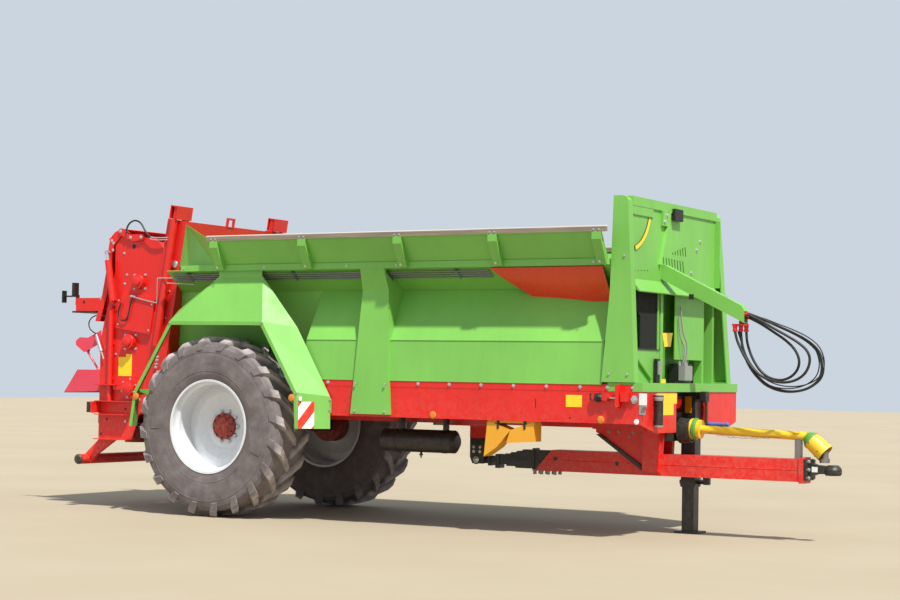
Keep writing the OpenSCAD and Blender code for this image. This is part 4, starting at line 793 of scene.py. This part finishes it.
# Lenses of the tail lamps and of the flap's lamps
red_lenses = Shape()
amber_lenses = Shape()
clear_lenses = Shape()
for side in SIDES:
    red_lenses.tile((-1951, -1944), across(side, 1030, 1100), (1082, 1188), 3)
    amber_lenses.tile((-1951, -1944), across(side, 996, 1027), (1136, 1188), 3)
    clear_lenses.tile((-1951, -1944), across(side, 996, 1027), (1082, 1132), 3)
red_lenses.done("tail_lenses_red", RED_LENS)
amber_lenses.done("tail_lenses_amber", AMBER)
clear_lenses.done("clear_lenses", CLEAR_LENS)
flap_lens = Shape()
for side in SIDES:
    for span_x, inner, outer, span_z in (((-2506, -2499), 888, 932, (2338, 2462)),
                                         ((-2349, -2344), 876, 939, (2420, 2540))):
        flap_lens.tile(span_x, across(side, inner, outer), span_z, 3)
flap_lens.done("flap_lenses", RED_LENS, "flap")

# Underrun bar's end caps
caps = Shape()
for side in SIDES:
    caps.lathe([(0, 58), (6, 58), (22, 46), (26, 20)], (-2050, side * 1099, 540), (0, side, 0), 32)
caps.done("underrun_cap_covers", BLACK_PLASTIC_AND_SHADE)

# Bare signs on the rear unit and the hood
rear_signs = Shape()
rear_signs.prism([(-1617, 1493), (-1425, 1493), (-1425, 1742), (-1509, 1742), (-1509, 1708), (-1617, 1708)],
                 "y", (-REAR_SIDE_Y - 2.5, -REAR_SIDE_Y + 0.5))
hood_normal = Vector((-263, 0, 193)).normalized()
corners = [Vector((x, y, z)) for x, y, z in ((-2396, -900, 1325), (-2250, -900, 1524), (-2250, -846, 1524),
                                             (-2396, -846, 1325))]
rear_signs.face_loop([[c + hood_normal * 8.3 for c in corners], [c + hood_normal * 10 for c in corners]])
rear_signs.done("bare_rear_signs", SIGN_YELLOW)

# Headboard: bolts, small holes, scale and bare yellow plates, the front bay's cover, a matt black sheet of
# painted shade in its opening, valves and stays
board_bolts = Shape()
for y, z in ((648, 2996), (558, 2901), (420, 2659), (-270, 3200), (-330, 3130)):
    board_bolts.bolt((BOARD_X if y > 0 else 4830, y, z), (1, 0, 0), 15, 12)
for side in SIDES:
    for x, z in ((4790, 2740), (4855, 1600), (4660, 1600)):
        board_bolts.bolt((x, side * (1222 - (z - 1520) * 0.0332), z), (0, side, 0), 11, 9)
board_bolts.done("headboard_bolts", ZINC)
board_holes = Shape()
# Small holes in the headboard drawn as black discs of painted shade
for k in range(6):
    board_holes.lathe([(0, 8), (1, 8)], (BOARD_X, -1030 + 74 * k, 2606 + 4 * k), (1, 0, 0), 12)
# The bay's opening: a flat near-black sheet of painted shade for the shaded space behind it
bay_shade = Shape()
bay_shade.prism([(-1000, 2436), (-360, 2436), (-360, 1858), (-800, 1858), (-800, 2170), (-1000, 2300)],
               "x", (4786, 4792))
bay_shade.done("bay_opening_painted_shade", SHADE_BLACK)
board_holes.tile((4788, BOARD_X), (-998, -340), (1846, 1862), 2)
board_holes.done("headboard_holes_and_bay_cover", BLACK_PLASTIC_AND_SHADE)
# Load scale: a bent plate round a point across and up, between two radii, and the plates below it
SCALE_AT = (-1100, 3300)
SCALE_R = (467, 509)
scale_arc = Shape()
arc = [math.radians(-74.5 + 54.5 * k / 24) for k in range(25)]
inner, outer = ([(SCALE_AT[0] + r * math.cos(t), SCALE_AT[1] + r * math.sin(t)) for t in arc]
                for r in SCALE_R)
outline = inner + outer[::-1]
scale_arc.face_loop([[(x, y, z) for y, z in outline] for x in (4810.5, 4800.5)])
scale_arc.tile((4798, 4802), (-303, -189), (1383, 1560), 1)
scale_arc.prism([(-299, 2020), (-170, 2024), (-170, 1886), (-239, 1883)], "x", (4801, 4804))
scale_arc.prism([(-170, 2024), (-40, 2027), (-87, 1886), (-170, 1886)], "x", (4801, 4804))
scale_arc.done("load_scale", SIGN_YELLOW)
valves = Shape()
valves.tile((4795, 4870), (130, 330), (1545, 1700), 6)
for k in range(5):
    valves.lathe([(0, 15), (26, 15), (28, 10), (46, 10)], (BOARD_X, 150 + 44 * k, 1700), (0, 0, 1), 12)
for route in ([(4840, 160, 1740), (4850, 160, 1880), (4820, 120, 2000), (4812, 90, 2200)],
              [(4840, 210, 1740), (4856, 215, 1900), (4822, 180, 2050), (4812, 130, 2300)]):
    valves.tube(route, 9, 8, 4)
valves.tile((4832, 4850), (-470, -410), (1600, 1740), 4)
valves.done("front_valves_and_pipes", GREY)
stays = Shape()
stays.rod((4812, -1090, 1860), (4805, -560, 1560), 14, 10)
stays.rod((BOARD_X, -400, 2438), (BOARD_X, -400, 1850), 12, 10)
stays.done("front_bay_stays", GREEN)

# Hose beam: bolts on top, square hole and the couplings' red grips
beam_bolts = Shape()
for x, z in ((4936, 2650), (5211, 2513), (5482, 2378)):
    beam_bolts.bolt((x, -298, z), (0.447, 0, 0.894), 12, 9)
beam_bolts.done("hose_beam_bolts", ZINC)
# The holes are black patches of painted shade
beam_hole = Shape()
beam_hole.tile((5106, 5160), (-346.2, -345), (2352, 2404), 1)
beam_hole.tile((5688, 5692), (-338, -257), (2128, 2234), 1)
beam_hole.done("hose_beam_holes", BLACK_PLASTIC_AND_SHADE)
grips = Shape()
for x, y in ((5580, -300), (5625, -260), (5670, -230)):
    grips.lathe([(0, 21), (6, 24), (20, 24), (24, 20), (40, 20), (44, 24), (58, 24), (62, 19)],
                (x, y, 2036), (0, 0, 1), 18)
grips.done("coupling_grips", RED)

# Hopper: edge seams, plank bolts, rib bolts, post bolts and pipe clamps. Seams: start, end, out, up, radius
TUB_SEAMS = ((-60, 4650, FLARE_Y, 2962, 7), (1105, 4575, 1163, 1915, 4), (1105, 4575, 1206, 1500, 4))
seams = Shape()
plank_bolts = Shape()
for side in SIDES:
    for start, end, y, z, r in TUB_SEAMS:
        seams.rod((start, side * y, z), (end, side * y, z), r, 8)
    for x in (35, 1180, 2356, 3460, 4600):
        for dx in (-28, 28):
            plank_bolts.bolt((x + dx, side * (FLARE_Y + 10), 2982), (0, side, 0), 8, 6)
        plank_bolts.bolt((x, side * 1330, 2680), (0, side, -0.5), 10, 8)
    plank_bolts.side_bolts(side, 1250, ((1780, 1180), (1780, 1460), (2140, 1180), (2140, 1460)), 11, 9)
    plank_bolts.side_bolts(side, 1255, [(x, 2682) for x in (-480, 600, 1650, 2260, 3400, 4500)], 9, 7)
seams.done("tub_seams", GREEN)
plank_bolts.done("tub_bolts", ZINC)

# Document tube's caps and the shaft guard's chain
tube = Shape()
tube.lathe([(0, 47), (14, 50), (30, 50), (34, 46), (58, 46), (62, 40)], (5046, -900, 1350), (0, 0, 1), 28)
tube.lathe([(0, 30), (4, 44), (10, 46), (20, 46)], (5046, -900, 1094), (0, 0, 1), 28)
tube.done("document_tube_caps", GREY)
guard_chain = Shape()
for k in range(18):
    t = k / 17
    middle = Vector((5070 + 1055 * t, -36, 1064 - 12 * t - 260 * t * (1 - t)))
    wide_y, wide_z = (9, 0) if k % 2 else (0, 9)
    guard_chain.tube([middle + Vector((33 * math.cos(a), wide_y * math.sin(a), wide_z * math.sin(a)))
                      for a in LINK_TURNS], 2.2, 6)
guard_chain.done("shaft_guard_chain", STEEL)

# Air tank's straps and drain valve, and the chocks' holders
tank = Shape()
for x in (1900, 2465):
    tank.lathe([(0, 120.5), (0.2, 123), (44, 123), (44.2, 120.5)], (x, -600, 870), (1, 0, 0), 40)
tank.lathe([(0, 13), (18, 13), (20, 20), (34, 20), (36, 8), (60, 8)], (2200, -600, 752), (0, 0, -1), 14)
tank.done("tank_straps_and_drain", BLACK)
holders = Shape()
for x in (3420, 3720):
    holders.tile((x, x + 24), (-1186, -1014), (1040, 1124), 3)
holders.done("chock_holders", BLACK)

# Tyre walls: blank raised panels and rings that follow the wall, as radius and height over the wheel's middle
WALL_RINGS = ((545, 284.5), (600, 301), (800, 299))
WALL_PANEL = ((640, 296), (642, 308), (700, 309.5), (758, 307), (760, 296))
for body, side in (("wheel_right", RIGHT), ("wheel_left", LEFT)):
    out = (0, side, 0)
    wall_rings = Shape()
    for radius, height in WALL_RINGS:
        ring = [(radius * math.cos(t), side * (WHEEL_Y + height), WHEEL_R + radius * math.sin(t))
                for t in (2 * math.pi * k / 96 for k in range(97))]
        wall_rings.tube(ring, 3, 6)
    for middle in (-12, 172):
        grid = []
        for k in range(13):
            t = math.radians(middle - 11 + 22 * k / 12)
            grid.append([(r * math.cos(t), side * (WHEEL_Y + h), WHEEL_R + r * math.sin(t))
                         for r, h in WALL_PANEL])
        wall_rings.face_loop(grid)
    wall_rings.lathe([(0, 7), (30, 7), (32, 5), (44, 5)], (455, side * (WHEEL_Y - 10), WHEEL_R), out, 10)
    wall_rings.done(f"{body}_wall_rings", TYRE[body.replace("wheel", "tyre")], body)

# Free hoses: the three hydraulic hoses of the source and three thinner lines beside them
ROUTES = {
    "hose_a": [(5716, -330, 2205), (5860, -330, 2140), (6000, -330, 2063), (6120, -328, 2000),
               (6240, -325, 1930), (6320, -322, 1860), (6352, -318, 1780), (6335, -315, 1690),
               (6280, -312, 1615), (6190, -310, 1565), (6080, -308, 1548), (5960, -306, 1565),
               (5850, -304, 1612), (5760, -302, 1690), (5690, -301, 1780), (5635, -300, 1880),
               (5600, -300, 1960), (5580, -300, 2040)],
    "hose_b": [(5716, -295, 2212), (5860, -293, 2160), (6010, -290, 2095), (6160, -288, 2030),
               (6300, -286, 1955), (6400, -284, 1870), (6450, -282, 1770), (6460, -280, 1670),
               (6430, -278, 1580), (6350, -276, 1510), (6240, -274, 1470), (6110, -272, 1460),
               (5990, -270, 1480), (5880, -268, 1530), (5790, -266, 1610), (5720, -264, 1700),
               (5670, -262, 1800), (5640, -260, 1910), (5625, -260, 2040)],
    "hose_c": [(5716, -267, 2172), (5840, -262, 2110), (5970, -258, 2030), (6090, -254, 1950),
               (6180, -250, 1860), (6220, -247, 1760), (6200, -244, 1670), (6130, -241, 1600),
               (6030, -238, 1570), (5920, -236, 1590), (5830, -234, 1650), (5760, -232, 1740),
               (5710, -231, 1840), (5680, -230, 1940), (5670, -230, 2040)]}


def add_cord(name, route, radius, replaces=()):
    """A hose as one open spline along the route."""
    points = [TO_ROW @ p for p in rounded([Vector(p) for p in route], 6)]
    data = bpy.data.curves.new(name, "CURVE")
    data.dimensions = "3D"
    data.bevel_depth = radius / 1000
    data.bevel_resolution = 3
    data.use_fill_caps = True
    spline = data.splines.new("POLY")
    spline.points.add(len(points) - 1)
    for point, spot in zip(spline.points, points):
        point.co = (*spot, 1)
    data.materials.append(HOSE)
    piece = bpy.data.objects.new(name, data)
    bpy.context.scene.collection.objects.link(piece)
    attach(piece, "chassis")
    if replaces:
        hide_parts(*replaces)


for hose_name, hose_route in ROUTES.items():
    add_cord(hose_name + "_curve", hose_route, 13, (hose_name,))
# Each thin line follows hose_b: how far it swings out in the middle, and its ends' shift along and across
THIN_LINES = (("line_a", (30, -18, 8), (-18, -6)), ("line_b", (-36, 20, 30), (-34, 8)),
              ("line_c", (14, 34, 52), (-20, 8)))
for cord_name, swing, (end_x, end_y) in THIN_LINES:
    route = ROUTES["hose_b"]
    last = len(route) - 1
    swell = [math.sin(math.pi * i / last) for i in range(last + 1)]
    thin = [tuple(c + d * k for c, d in zip(p, swing)) for p, k in zip(route, swell)]
    thin[-1] = (thin[-1][0] + end_x, thin[-1][1] + end_y, thin[-1][2])
    thin[0] = (thin[0][0], thin[0][1] + end_y, thin[0][2] - 14)
    add_cord(cord_name, thin, 6)
# Short hoses and a cable of the rear unit: name, radius, route
SHORT_CORDS = (
    ("arch_hose", 10, [
        (-1506, -1002, 3104), (-1500, -1003, 3170), (-1456, -1004, 3228), (-1380, -1004, 3252),
        (-1301, -1004, 3220), (-1235, -1004, 3132), (-1190, -1003, 3082), (-1160, -1002, 3062)]),
    ("loop_hose", 8, [
        (-1543, -1024, 2320), (-1574, -1024, 2255), (-1580, -1024, 2190), (-1552, -1024, 2134),
        (-1500, -1024, 2118), (-1453, -1024, 2150), (-1430, -1024, 2215), (-1412, -1024, 2300),
        (-1380, -1024, 2380)]),
    ("lamp_cable", 7, [
        (-1822, -950, 2172), (-1900, -962, 2182), (-1970, -964, 2176), (-2030, -964, 2146),
        (-2062, -964, 2092), (-2048, -964, 2034), (-2002, -964, 1994), (-1950, -964, 1972)]))
for cord_name, cord_r, cord_route in SHORT_CORDS:
    add_cord(cord_name, cord_route, cord_r)
